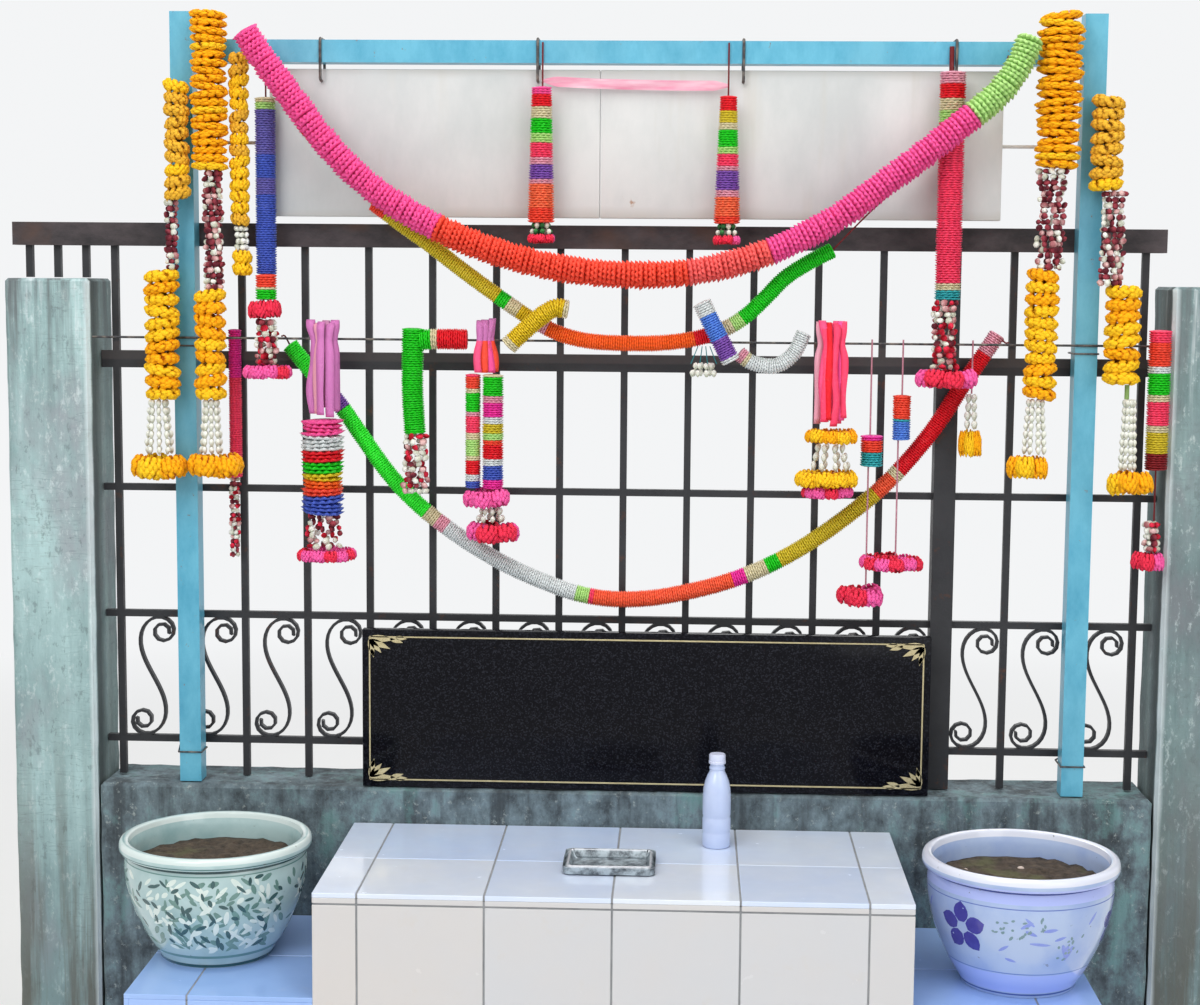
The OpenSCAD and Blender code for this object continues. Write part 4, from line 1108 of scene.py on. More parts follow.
for round_pot in (0, 120, 240):
    for angle, share, length, width, lean in (
            (-98, 0.62, 0.022, 0.006, 0.5), (-95, 0.60, 0.020, 0.006, -0.4), (-90, 0.64, 0.020, 0.005, 2.4),
            (-84, 0.60, 0.024, 0.006, 0.1), (-92, 0.50, 0.034, 0.005, -0.1), (-70, 0.48, 0.030, 0.008, -1.1),
            (-66, 0.47, 0.028, 0.009, -1.5), (-62, 0.46, 0.026, 0.008, -1.9), (-76, 0.52, 0.020, 0.005, 0.3),
            (-112, 0.42, 0.020, 0.005, 0.6), (-108, 0.36, 0.018, 0.005, -0.3), (-52, 0.62, 0.024, 0.005, 0.9)):
        wisps.append((angle + round_pot, share, length, width, lean))
brushed("right_pot_leaves", right_pot, wisps, pale_blue)
sage = Finish("sage_brush", Roughness=0.16, Coat_Weight=0.5)
sage.drive("Base Color", sage.mix((0.09, 0.19, 0.22, 1), (0.26, 0.38, 0.44, 1), sage.noise(70.0, 3.0)))
dots = []
for round_pot in (0, 120, 240):
    for k in range(26):
        dots.append((random.uniform(-116, -80) + round_pot, random.uniform(0.55, 0.68), random.uniform(0.004, 0.009),
                     random.uniform(0.003, 0.005), random.uniform(-3, 3)))
    for k in range(14):
        dots.append((random.uniform(-74, -56) + round_pot, random.uniform(0.34, 0.52), random.uniform(0.004, 0.008),
                     random.uniform(0.003, 0.005), random.uniform(-3, 3)))
brushed("right_pot_dots", right_pot, dots, sage, 0.36 * MM)


# Potting soil fills both pots to below the lip: lumpy, dry on top, with a few pale pebbles.
soil_low, soil_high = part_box("pot_soil")
soil_finish = Finish("soil", Roughness=0.95)
crumbs = soil_finish.noise(70.0, 7.0, roughness=0.75)
earth = soil_finish.mix((0.018, 0.012, 0.008, 1), (0.13, 0.095, 0.065, 1), soil_finish.between(crumbs, 0.34, 0.68))
soil_finish.drive("Base Color", soil_finish.mix(earth, (0.12, 0.13, 0.05, 1),
                                                soil_finish.between(soil_finish.noise(12.0, 3.0), 0.55, 0.7) * 0.6))
soil_finish.bump(crumbs, 0.006, 0.9)
pebble_finish = Finish("pebble", Roughness=0.7)
pebble_finish.drive("Base Color", pebble_finish.mix((0.42, 0.33, 0.27, 1), (0.74, 0.62, 0.55, 1), pebble_finish.noise(90.0)))
soils = []
for middle, radius, height in (left_pot, right_pot):
    level = middle.z + height - 0.038
    rings = [(radius * 0.866 * k / 14, 0.0) for k in range(14, -1, -1)]
    bed = turned("soil_bed", [(0, -0.070), (radius * 0.80, -0.070), *[(r, 0) for r, _ in rings]],
                 (middle.x, middle.y, level), 64)
    lumps = bpy.data.textures.new("soil_lumps", "CLOUDS")
    lumps.noise_scale = 0.02
    shape(bed, "DISPLACE", texture=lumps, direction="Z", strength=0.012, mid_level=0.9)
    soils.append(bed)
for angle, share, size in ((-55, 0.5, 6), (-48, 0.56, 5), (-40, 0.47, 7), (-33, 0.6, 5), (-62, 0.62, 5), (-20, 0.5, 5),
                           (80, 0.4, 6), (150, 0.6, 5)):
    bpy.ops.mesh.primitive_ico_sphere_add(subdivisions=2, radius=size * MM, location=(
        right_pot[0].x + right_pot[1] * share * math.cos(math.radians(angle)),
        right_pot[0].y + right_pot[1] * share * math.sin(math.radians(angle)), soil_high.z - 5 * MM))
    pebble = bpy.context.object
    pebble.scale = (1, 0.8, 0.6)
    bpy.ops.object.transform_apply()
    pebble.data.materials.append(soil_finish.material)
    pebble.data.materials.append(pebble_finish.material)
    for face in pebble.data.polygons:
        face.material_index = 1
    soils.append(pebble)
for bed in soils[:2]:
    bed.data.materials.append(soil_finish.material)
soil = join("pot_soil_beds", soils)
bpy.ops.object.shade_smooth()
hang(soil, ["pot_soil"])


# A small pale plastic bottle with a screw cap stands on the altar, left bare of any label.
bottle_low, bottle_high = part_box("bottle")
cap_low, cap_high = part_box("bottle_cap")
bottle_plastic = Finish("bottle_plastic", Roughness=0.22, Coat_Weight=0.3)
bottle_plastic.drive("Base Color", bottle_plastic.mix((0.48, 0.58, 0.84, 1), (0.62, 0.70, 0.90, 1),
                                                      bottle_plastic.noise(25.0, 3.0)))
bottle_plastic.bump(bottle_plastic.noise(30.0, 2.0), 0.0015, 0.3)
body_r = (bottle_high.x - bottle_low.x) / 2
body_h = bottle_high.z - bottle_low.z
bottle_shape = [(0, 0.004), (0.60, 0.004), (0.80, 0.0), (0.93, 0.006), (1.0, 0.03), (1.0, 0.16), (0.972, 0.175), (0.972, 0.195),
                (1.0, 0.21), (1.0, 0.34), (0.972, 0.355), (0.972, 0.375), (1.0, 0.39), (1.0, 0.56), (0.985, 0.64), (0.94, 0.72),
                (0.84, 0.79), (0.68, 0.86), (0.55, 0.90), (0.52, 0.93), (0.56, 0.935), (0.56, 0.955), (0.50, 0.96), (0.50, 1.0),
                (0, 1.0)]
foot = Vector(((bottle_low.x + bottle_high.x) / 2, (bottle_low.y + bottle_high.y) / 2, bottle_low.z))
bottle = turned("bottle_body", [(r * body_r, z * body_h) for r, z in bottle_shape], foot, 48)
coat(bottle, bottle_plastic)
hang(bottle, ["bottle"])
cap_r, cap_h = (cap_high.x - cap_low.x) / 2, cap_high.z - cap_low.z
cap = turned("bottle_screw_cap", [(0, 0), (cap_r, 0), (cap_r, cap_h * 0.24), (cap_r * 0.95, cap_h * 0.28),
                                  (cap_r * 0.97, cap_h * 0.34), (cap_r * 0.97, cap_h * 0.86), (cap_r * 0.88, cap_h),
                                  (0, cap_h)], (foot.x, foot.y, cap_low.z), 48)
pick(cap, lambda co: round(math.atan2(co.y - foot.y, co.x - foot.x) / math.tau * 48) % 2 == 0
     and cap_low.z + cap_h * 0.33 < co.z < cap_low.z + cap_h * 0.9)
bpy.ops.transform.resize(value=(0.96, 0.96, 1), center_override=(foot.x, foot.y, cap_low.z))
bpy.ops.object.mode_set(mode="OBJECT")
cap_plastic = Finish("cap_plastic", Roughness=0.3)
cap_plastic.drive("Base Color", cap_plastic.mix((0.60, 0.66, 0.86, 1), (0.72, 0.76, 0.92, 1), cap_plastic.noise(40.0)))
coat(cap, cap_plastic)
hang(cap, ["bottle_cap"])


# The offering tray is a shallow rounded dish of dark enamelled tin with a worn pale rim.
tray_low, tray_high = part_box("offering_tray")
TRAY_WALL = 2.2 * MM
TRAY_CORNER = 14 * MM
bpy.ops.mesh.primitive_cube_add(size=1, location=(tray_low + tray_high) / 2)
tray = bpy.context.object
tray.name = "offering_tray_dish"
tray.scale = tray_high - tray_low
bpy.ops.object.transform_apply()
tray_middle = (tray_low + tray_high) / 2
bpy.ops.object.mode_set(mode="EDIT")
bpy.ops.mesh.select_all(action="DESELECT")
bpy.ops.object.mode_set(mode="OBJECT")
for edge in tray.data.edges:
    a, b = (tray.data.vertices[v].co for v in edge.vertices)
    edge.select = abs(a.z - b.z) > 0.001
bpy.ops.object.mode_set(mode="EDIT")
bpy.ops.mesh.select_mode(type="EDGE")
bpy.ops.mesh.bevel(offset=TRAY_CORNER, segments=6, affect="EDGES")
bpy.ops.mesh.select_mode(type="FACE")
bpy.ops.mesh.select_all(action="DESELECT")
bpy.ops.object.mode_set(mode="OBJECT")
for face in tray.data.polygons:
    face.select = face.normal.z > 0.9
bpy.ops.object.mode_set(mode="EDIT")
bpy.ops.mesh.inset(thickness=TRAY_WALL)
bpy.ops.mesh.inset(thickness=5 * MM)
bpy.ops.transform.translate(value=(0, 0, -(tray_high.z - tray_low.z) + TRAY_WALL))
bpy.ops.mesh.inset(thickness=3 * MM)
bpy.ops.mesh.select_all(action="DESELECT")
bpy.ops.object.mode_set(mode="OBJECT")
for face in tray.data.polygons:
    face.select = face.normal.z < -0.9
bpy.ops.object.mode_set(mode="EDIT")
bpy.ops.transform.resize(value=(0.93, 0.91, 1), center_override=tray_middle)
bpy.ops.object.mode_set(mode="OBJECT")
shape(tray, "BEVEL", width=0.8 * MM, segments=2, limit_method="ANGLE", angle_limit=math.radians(40))
tray_metal = Finish("tray_metal", Roughness=0.4, Metallic=0.3)
scorch = tray_metal.noise(45.0, 6.0, roughness=0.7)
enamel = tray_metal.mix((0.07, 0.085, 0.10, 1), (0.42, 0.49, 0.53, 1), tray_metal.between(scorch, 0.38, 0.58))
rim_wear = tray_metal.between(tray_metal.axis(2) + scorch * 0.003, tray_high.z - 0.0022, tray_high.z)
tray_metal.drive("Base Color", tray_metal.mix(enamel, (0.66, 0.68, 0.72, 1), rim_wear))
tray_metal.bump(scorch, 0.0012, 0.5)
coat(tray, tray_metal)
hang(tray, ["offering_tray"])


# On each post hangs a fat fresh marigold garland: heads threaded close together at the top,
# older strings of small dried flowers below them, marigolds again, then strings of white buds
# and a rim of marigold heads. A browner one hangs on the outer side of each post.
HEAD_PITCH = 20 * MM
MASS_PITCH = 13 * MM
# Rows of petals round a head: how many, how far out, their lean in degrees, how far along
PETAL_ROWS = [(8, 0.66, -38, 0.36), (12, 0.80, -16, 0.18), (13, 0.85, 0, 0.0), (12, 0.80, 16, -0.18),
              (8, 0.66, 38, -0.36)]
RING_PITCH = 4 * MM
RUFFLE_PITCH = 6.5 * MM
BEAD_R = 6 * MM
BUD_LENGTH, BUD_R = 14 * MM, 4.8 * MM
# Each dye is a pair: its colour in painted shade, and its colour where painted light falls.
PETAL_DYES = {
    "marigold": ((0.66, 0.16, 0.0), (1.0, 0.46, 0.0)), "yellow_marigold": ((0.66, 0.28, 0.0), (1.0, 0.60, 0.01)),
    "old_marigold": ((0.34, 0.13, 0.005), (0.86, 0.47, 0.03)), "bud_white": ((0.60, 0.62, 0.50), (0.94, 0.95, 0.88)),
    "dried_maroon": ((0.10, 0.01, 0.02), (0.36, 0.05, 0.07)), "dried_pink": ((0.40, 0.14, 0.15), (0.80, 0.52, 0.50)),
    "red_petal": ((0.35, 0.0, 0.01), (0.88, 0.03, 0.08)), "pink_petal": ((0.55, 0.02, 0.16), (0.95, 0.12, 0.40)),
    "dark_green": ((0.01, 0.07, 0.02), (0.05, 0.26, 0.07)),
}


def petal_finish(name):
    """Petals: painted shade where they crowd together, painted light at their tips, soft."""
    deep, lit_dye = PETAL_DYES[name]
    finish = Finish(name, Roughness=0.7, Specular_IOR_Level=0.25)
    mottle = finish.noise(90.0, 3.0, roughness=0.65)
    # Painted light and shade: the deep colour where the mark is low, the lit one where it is high.
    finish.drive("Base Color", finish.mix((*deep, 1), (*lit_dye, 1), finish.between(
        finish.attribute("tip") * 0.9 + mottle * 0.5, 0.45, 1.05)))
    finish.bump(finish.noise(260.0, 3.0), 0.003, 0.8)
    return finish


for petal_name in PETAL_DYES:
    dyed[petal_name] = petal_finish(petal_name)


def small_ball(name, long=1.0, jitter=0.0):
    """A little ball or bud of radius 1, as long as it says along Z."""
    bpy.ops.mesh.primitive_uv_sphere_add(segments=8, ring_count=6, radius=1, scale=(1, 1, long))
    piece = bpy.context.object
    piece.name = name
    bpy.ops.object.transform_apply()
    pick(piece, lambda co: co.z < -0.5 * long)
    bpy.ops.transform.resize(value=(0.75, 0.75, 1))
    bpy.ops.mesh.select_all(action="SELECT")
    bpy.ops.transform.vertex_random(offset=jitter, seed=3)
    bpy.ops.object.mode_set(mode="OBJECT")
    # The mark paints light and shade: each ball is lighter towards +Z and darker towards -Z.
    tip = piece.data.attributes.new("tip", "FLOAT", "POINT")
    for vertex, value in zip(piece.data.vertices, tip.data):
        value.value = 0.5 + 0.5 * vertex.co.z / long
    return piece


bead = small_ball("bead", jitter=0.22)
bud = small_ball("bud", BUD_LENGTH / BUD_R / 2)


def gathered(name, unit, places):
    """One piece made of copies of a unit, each with its own placing matrix and dye."""
    corners = [vertex.co.copy() for vertex in unit.data.vertices]
    outlines = [tuple(face.vertices) for face in unit.data.polygons]
    marks = [value.value for value in unit.data.attributes["tip"].data]
    names = list(dict.fromkeys(dye for _, dye in places))
    points, faces, which = [], [], []
    for matrix, dye in places:
        start = len(points)
        points += [matrix @ corner for corner in corners]
        faces += [tuple(start + k for k in outline) for outline in outlines]
        which += [names.index(dye)] * len(outlines)
    mesh = bpy.data.meshes.new(name)
    mesh.from_pydata(points, [], faces)
    tip = mesh.attributes.new("tip", "FLOAT", "POINT")
    for k, value in enumerate(tip.data):
        value.value = marks[k % len(marks)]
    for dye in names:
        mesh.materials.append(dyed[dye].material)
    for face, mark in zip(mesh.polygons, which):
        face.material_index = mark
        face.use_smooth = True
    piece = bpy.data.objects.new(name, mesh)
    bpy.context.collection.objects.link(piece)
    return piece


def flower_head():
    """A full double flower head of radius 1, its stem along X: rows of broad petals round a core."""
    bpy.ops.mesh.primitive_ico_sphere_add(subdivisions=1, radius=1, scale=(0.25, 0.15, 0.24))
    petal = bpy.context.object
    bpy.ops.object.transform_apply()
    # The mark paints light on each petal's outer face and shade on its inner face.
    tip = petal.data.attributes.new("tip", "FLOAT", "POINT")
    for vertex, value in zip(petal.data.vertices, tip.data):
        value.value = 0.55 + 0.45 * vertex.co.y / 0.15
    places = []
    for row, (count, out, lift, along) in enumerate(PETAL_ROWS):
        for k in range(count):
            turn = math.tau * (k + 0.5 * (row % 2) + random.uniform(-0.25, 0.25)) / count
            places.append((
                Matrix.Rotation(turn, 4, "X")
                @ Matrix.Translation((along + random.uniform(-0.04, 0.04), out * random.uniform(0.93, 1.03), 0))
                @ Matrix.Rotation(math.radians(lift + random.uniform(-16, 16)), 4, "Z")
                @ Matrix.Rotation(random.uniform(-0.7, 0.7), 4, "Y")
                @ Matrix.Rotation(random.uniform(-0.35, 0.35), 4, "X"), "marigold"))
    flower = gathered("flower_head", petal, places)
    bpy.data.objects.remove(petal)
    bpy.ops.mesh.primitive_uv_sphere_add(segments=10, ring_count=6, radius=0.74)
    core = bpy.context.object
    core.scale = (0.58, 1, 1)
    bpy.ops.object.transform_apply()
    # The core carries a low mark: painted shade in the heart of the flower.
    tip = core.data.attributes.new("tip", "FLOAT", "POINT")
    for value in tip.data:
        value.value = 0.2
    return join("flower_head", [flower, core])


head = flower_head()


def bead_strings(x, y, high, low, radius, dyes):
    """Strings of small dried flowers that hang together and wind round each other."""
    size = min(BEAD_R, radius * 0.40)
    strings = 7 if radius > 0.017 else 4
    count = max(2, round((high - low) / (1.6 * size)))
    places = []
    for s in range(strings):
        for k in range(count):
            turn = math.tau * s / strings + k * 0.16
            out = (radius - size) * random.uniform(0.55, 1.0)
            at = Vector((x + out * math.cos(turn), y + out * math.sin(turn), high - (k + 0.5) * (high - low) / count))
            swell = [size * random.uniform(0.62, 1.15) for _ in range(3)]
            places.append((Matrix.Translation(at) @ Matrix.Rotation(random.uniform(0, 6), 4, "X")
                           @ Matrix.Rotation(random.uniform(0, 6), 4, "Y") @ Matrix.Diagonal((*swell, 1)),
                           random.choice(dyes)))
    return gathered("bead_strings", bead, places)


def bud_tassel(x, y, high, low, radius, dyes):
    """Strings of long white buds that spread a little as they hang."""
    strings = 8 if radius > 0.016 else 4
    rows = max(1, round((high - low) / (BUD_LENGTH * 0.98)))
    places = []
    for s in range(strings):
        turn = math.tau * (s + 0.3) / strings
        for k in range(rows):
            share = (k + 0.5) / rows
            out = (radius - BUD_R) * (0.60 + 0.38 * share) * random.uniform(0.88, 1.0)
            at = Vector((x + out * math.cos(turn), y + out * math.sin(turn), high - share * (high - low)))
            lean = Matrix.Rotation(random.uniform(-0.15, 0.15), 4, "X") @ Matrix.Rotation(random.uniform(-0.15, 0.15), 4, "Y")
            size = BUD_R * random.uniform(0.85, 1.05)
            places.append((Matrix.Translation(at) @ lean @ Matrix.Diagonal(
                (size, size, (high - low) / rows / 2 / (BUD_LENGTH / BUD_R / 2) * 1.04, 1)), random.choice(dyes)))
    return gathered("bud_tassel", bud, places)


def flower_rim(x, y, high, low, radius, dyes):
    """A ring of flower heads at the foot of a garland, one on the end of each string."""
    size = min((high - low) * 0.55, radius * 0.45)
    ring = radius - size
    count = max(4, round(math.tau * ring / (1.62 * size)))
    places = []
    for k in range(count):
        turn = math.tau * (k + 0.5) / count + random.uniform(-0.08, 0.08)
        at = Vector((x + ring * math.cos(turn), y + ring * math.sin(turn),
                     (high + low) / 2 + random.uniform(-0.06, 0.06) * (high - low)))
        stem = Matrix.Rotation(turn, 4, "Z") @ Matrix.Rotation(math.radians(80 + random.uniform(-12, 12)), 4, "Y")
        tall = (high - low) * 0.46 / 0.6
        places.append((Matrix.Translation(at) @ stem @ Matrix.Diagonal((tall, size * 1.06, size * 1.06, 1)),
                       random.choice(dyes)))
    return gathered("flower_rim", head, places)


def strand(anchor, plane, reach, pieces):
    """A row of threaded pieces on one string in front of a plane, in millimetres.

    Each piece is its kind, how far right of the anchor it is, its top and bottom below the
    anchor, its radius and its dyes. The reach is the radius of what just clears the plane. Rings
    may be given a radius for the top and one for the bottom.
    """
    made = []
    y = plane - WIRE_GAP - reach * MM
    for kind, dx, top, bottom, radius, dyes in pieces:
        first, last = radius if isinstance(radius, tuple) else (radius, radius)
        x, high, low, r = anchor[0] + dx * MM, anchor[2] - top * MM, anchor[2] - bottom * MM, last * MM
        line = [Vector((x, y, high - 0.5 * MM)), Vector((x, y, low + 0.5 * MM))]
        if kind == "flowers":
            made.append(thread("flowers", head, HEAD_PITCH, line, r * 1.02, dyes, 0.08))
        elif kind == "mass":
            made.append(thread("flower_mass", head, MASS_PITCH, line, r * 1.04, dyes, 0.10))
        elif kind == "rings":
            made.append(thread("rings", fine_ruffle, RING_PITCH, line,
                               lambda share: (first + (last - first) * share) * MM, dyes, 0.03))
        elif kind == "ruffles":
            made.append(thread("ruffles", coarse_ruffle, RUFFLE_PITCH, line, r, dyes, 0.10))
        elif kind == "beads":
            made.append(bead_strings(x, y, high, low, r, dyes))
        elif kind == "tassel":
            made.append(bud_tassel(x, y, high, low, r, dyes))
        elif kind == "rim":
            made.append(flower_rim(x, y, high, low, r, dyes))
        else:
            made.append(string("string", line, r, dyes[0]))
    return made


left_top = Vector(((post_box[0].x + post_box[1].x) / 2, 0, FRAME_TOP))
right_top = Vector(((other_post_box[0].x + other_post_box[1].x) / 2, 0, FRAME_TOP))
FRESH = ["marigold", "marigold", "yellow_marigold"]
BRIGHT = ["marigold"] * 5 + ["yellow_marigold"]
YELLOW = ["yellow_marigold", "yellow_marigold", "marigold"]
OLD = ["old_marigold", "old_marigold", "yellow_marigold"]
DRIED = ["dried_maroon", "dried_maroon", "dried_pink", "bud_white"]
BUDS = ["bud_white"]

hang(join("left_outer_garland_flowers", strand(left_top, FRAME_FRONT, 32, [
    ("flowers", -1, 119, 320, 23, OLD), ("beads", -12, 320, 439, 15, DRIED), ("flowers", -31, 439, 661, 32, YELLOW),
    ("tassel", -39, 661, 755, 28, BUDS), ("rim", -39, 755, 799, 50, FRESH)])),
    ["left_outer_garland"])
hang(join("left_inner_garland_flowers", [
    *strand(left_top, FRAME_FRONT, 32, [
        ("mass", 55, 3, 270, 32, BRIGHT), ("beads", 60, 270, 472, 21, DRIED), ("flowers", 52, 472, 660, 29, YELLOW),
        ("tassel", 52, 660, 754, 23, BUDS), ("rim", 60, 754, 797, 50, FRESH)]),
    *strand(left_top, FRAME_FRONT, 18, [
        ("flowers", 103, 71, 362, 18, OLD), ("beads", 106, 362, 405, 15, BUDS),
        ("flowers", 106, 405, 447, 19, YELLOW)])]),
    ["left_inner_garland"])
hang(join("right_inner_garland_flowers", strand(right_top, FRAME_FRONT, 39, [
    ("mass", -66, 3, 259, 39, BRIGHT), ("beads", -73, 259, 427, 29, DRIED), ("flowers", -84, 427, 645, 29, YELLOW),
    ("tassel", -90, 645, 738, 25, BUDS), ("rim", -100, 738, 781, 36, FRESH)])),
    ["right_inner_garland"])
hang(join("right_outer_garland_flowers", strand(right_top, FRAME_FRONT, 33, [
    ("flowers", 17, 139, 295, 29, OLD), ("beads", 31, 295, 453, 25, DRIED), ("flowers", 53, 453, 619, 33, YELLOW),
    ("string", 64, 619, 644, 4, ["leaf_green"]), ("tassel", 69, 644, 765, 18, BUDS), ("rim", 75, 765, 808, 40, FRESH)])),
    ["right_outer_garland"])


# Straight tubes of gathered crepe ribbon hang inside the posts, blue at the left and red at the
# right, each with coloured bands, a short tassel of small flowers and a rim of red petals.
sign_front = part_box("sign_board")[0].y
hook_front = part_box("sign_hooks")[0].y
wire_front = wire_box[0].y
MIXED = ["dried_maroon", "red_petal", "bud_white", "dried_pink", "bud_white"]
hang(join("left_blue_garland_crepe", [
    *strand(left_top, FRAME_FRONT, 1.5, [("string", 146, 55, 145, 1.5, ["dark_red"])]),
    *strand(left_top, sign_front, 18.5, [("rings", 146, 145, 445, 18.5, [
        (0.03, "cream"), (0.06, "leaf_green"), (0.32, "violet_blue"), (0.45, "royal_blue"), (0.55, "violet_blue"),
        (1.0, "royal_blue")])]),
    *strand(left_top, wire_front, 24, [
        ("rings", 149, 445, 488, 19, [(0.45, "salmon"), (0.6, "cream"), (1.0, "grass_green")]),
        ("rim", 147, 488, 522, 30, ["red_petal"]), ("beads", 149, 522, 599, 24, MIXED),
        ("rim", 150, 599, 625, 43, ["red_petal", "pink_petal"])])]),
    ["left_blue_garland"])
hang(join("right_red_garland_crepe", [
    *strand(right_top, FRAME_FRONT, 4, [("string", -241, 55, 99, 4, ["dark_red"])]),
    *strand(right_top, hook_front, 23, [("rings", -241, 99, 479, 23, [
        (0.05, "pale_pink"), (0.12, "crimson"), (0.17, "cream"), (0.22, "leaf_green"), (0.26, "salmon"),
        (0.93, "rose_red"), (0.96, "cream"), (1.0, "teal")])]),
    *strand(right_top, wire_front, 36, [
        ("beads", -246, 479, 596, 27, MIXED), ("rim", -240, 596, 630, 54, ["red_petal", "red_petal", "pink_petal"])])]),
    ["right_red_garland"])


# Two stacks of coloured ribbon rings hang on strings in front of the sign, each with a fringe
# of buds at its foot. A sash of sheer pink ribbon is tied between the two strings.
SIGN_STACKS = {
    (-155, 80, 18, 24): [
        (0.05, "hot_pink"), (0.15, "crimson"), (0.235, "cream"), (0.345, "grass_green"), (0.41, "leaf_green"),
        (0.525, "rose_red"), (0.565, "pale_pink"), (0.68, "violet"), (0.72, "pale_pink"), (0.90, "coral"),
        (1.0, "salmon")],
    (160, 94, 15, 24): [
        (0.11, "crimson"), (0.20, "olive_yellow"), (0.27, "cream"), (0.40, "grass_green"), (0.457, "leaf_green"),
        (0.55, "rose_red"), (0.59, "pale_pink"), (0.74, "violet"), (0.79, "pale_pink"), (0.94, "coral"),
        (1.0, "salmon")]}
beam_top = beam_box[1].z
stacks = []
for (dx, top, narrow, wide), bands in SIGN_STACKS.items():
    edge = Vector((FRAME_MIDDLE + dx * MM, 0, beam_top))
    stacks += strand(edge, FRAME_FRONT, 4, [("string", 0, 3, top, 1.5, ["dark_red"])])
    stacks += strand(edge, hook_front, 22, [
        ("rings", 0, top, 307, (narrow, wide), bands), ("tassel", 0, 307, 328, 23, ["bud_white", "dark_green"]),
        ("rim", 0, 326, 343, 25, ["red_petal", "red_petal", "pink_petal"])])
hang(join("sign_garland_rings", stacks), ["sign_garlands"])

SASH_ROUTE = [(-155, 68), (-75, 72), (0, 74), (80, 75), (160, 75)]
SASH_WIDTH = 17 * MM
sash_line = smooth_route(in_plane(SASH_ROUTE, beam_top, FRAME_FRONT - WIRE_GAP - 4 * MM), 0.006)
points, faces = [], []
for n, place in enumerate(sash_line):
    share = n / (len(sash_line) - 1)
    gathered_in = 1 - 0.72 * max(0.0, 1 - min(share, 1 - share) / 0.07)
    for k in range(5):
        across = k / 4 - 0.5
        ripple = math.sin(share * 11 + 4.5 * across) * (0.5 + across) * MM
        points.append(place + Vector((0, ripple, -across * SASH_WIDTH * gathered_in)))
    if n:
        faces += [(5 * n + k - 5, 5 * n + k, 5 * n + k + 1, 5 * n + k - 4) for k in range(4)]
sash_mesh = bpy.data.meshes.new("sign_sash")
sash_mesh.from_pydata(points, [], faces)
sash = bpy.data.objects.new("sign_sash", sash_mesh)
bpy.context.collection.objects.link(sash)
shape(sash, "SOLIDIFY", thickness=0.3 * MM, offset=0)
for face in sash.data.polygons:
    face.use_smooth = True
sheer = Finish("sheer_ribbon", Roughness=0.45, Alpha=0.72)
weave = sheer.noise(14.0, 3.0, (1, 1, 8), 0.6)
sheer.drive("Base Color", sheer.mix((0.84, 0.30, 0.44, 1), (0.90, 0.56, 0.66, 1), sheer.between(weave, 0.35, 0.65)))
coat(sash, sheer)
hang(sash, ["sign_garlands"])
run(sash_line)


# Bunches of narrow gift ribbon are looped over the wire; below them hang stacks of coloured
# rings with rims of petals. The ribbons are flat strips, folded double.
RIBBON_WIDTH = 13 * MM
wire_left = Vector((left_top.x, 0, WIRE_HEIGHT))
wire_right = Vector((right_top.x, 0, WIRE_HEIGHT))
wire_end = Vector((wire_box[1].x, 0, WIRE_HEIGHT))


def ribbon_loops(name, anchor, dx, top, bottom, radius, reach, count, dyes, crown=None, width=RIBBON_WIDTH):
    """A bunch of ribbons folded double, drawn in a little where they are tied to the wire.

    The crown is the dye of the loops above the wire, where it isn't that of their ribbon.
    """
    middle = Vector((anchor.x + dx * MM, wire_front - WIRE_GAP - reach * MM, anchor.z))
    high, low, r = -top * MM, -bottom * MM, radius * MM
    points, faces, marks, lengths = [], [], [], []
    names = list(dict.fromkeys(dyes + [crown or dyes[0]]))
    for k in range(count):
        dye = dyes[k % len(dyes)]
        side = ((k + random.uniform(0.25, 0.75)) / count * 2 - 1) * (r - width / 2)
        room = math.sqrt(max(0.0, 1 - (side / r) ** 2)) * r * 0.85
        front, back = -room * random.uniform(0.4, 1.0), room * random.uniform(0.1, 0.6)
        rise = high * random.uniform(0.78, 1.0)
        front_end, back_end = low * random.uniform(0.84, 1.0), low * random.uniform(0.72, 0.98)
        sway = random.uniform(-0.25, 0.25) * width
        path = [(front * 0.85, front_end), (front, front_end * 0.6), (front * 0.9, front_end * 0.25),
                (front * 0.65, 0.0), (front * 0.6, rise * 0.7), (0.0, rise), (back * 0.7, rise * 0.65),
                (back * 0.7, 0.0), (back, back_end * 0.5), (back * 0.8, back_end)]
        rows = smooth_route([Vector((0, y, z)) for y, z in path], 0.006)
        lengths.append(run(rows))
        yaw = random.uniform(-0.4, 0.4)
        start = len(points)
        for n, row in enumerate(rows):
            drawn_in = 0.16 * math.exp(-((row.z / 0.014) ** 2))
            centre = side * (1 - drawn_in) + sway * math.sin(row.z * 55 + 2 * k)
            half = width / 2 * (1 - drawn_in)
            twist = yaw + 0.2 * math.sin(row.z * 38 + k)
            for edge in (-1, 0, 1):
                cup = 0.0009 * (edge != 0)
                points.append(middle + Vector((centre + edge * half * math.cos(twist),
                                               row.y + edge * half * math.sin(twist) * 0.6 + cup, row.z)))
            if n:
                base = start + 3 * (n - 1)
                faces += [(base, base + 1, base + 4, base + 3), (base + 1, base + 2, base + 5, base + 4)]
                marks += [names.index(crown if crown and row.z > 0 else dye)] * 2
    mesh = bpy.data.meshes.new(name)
    mesh.from_pydata(points, [], faces)
    tip = mesh.attributes.new("tip", "FLOAT", "POINT")
    # The mark paints shade along one edge of each ribbon.
    for n, value in enumerate(tip.data):
        value.value = (1.0, 1.0, 0.8)[n % 3]
    for dye in names:
        mesh.materials.append(dyed[dye].material)
    for face, mark in zip(mesh.polygons, marks):
        face.material_index = mark
        face.use_smooth = True
    piece = bpy.data.objects.new(name, mesh)
    bpy.context.collection.objects.link(piece)
    shape(piece, "SOLIDIFY", thickness=0.3 * MM, offset=0)
    hang(piece, ["ribbon_bunches"])
    return piece


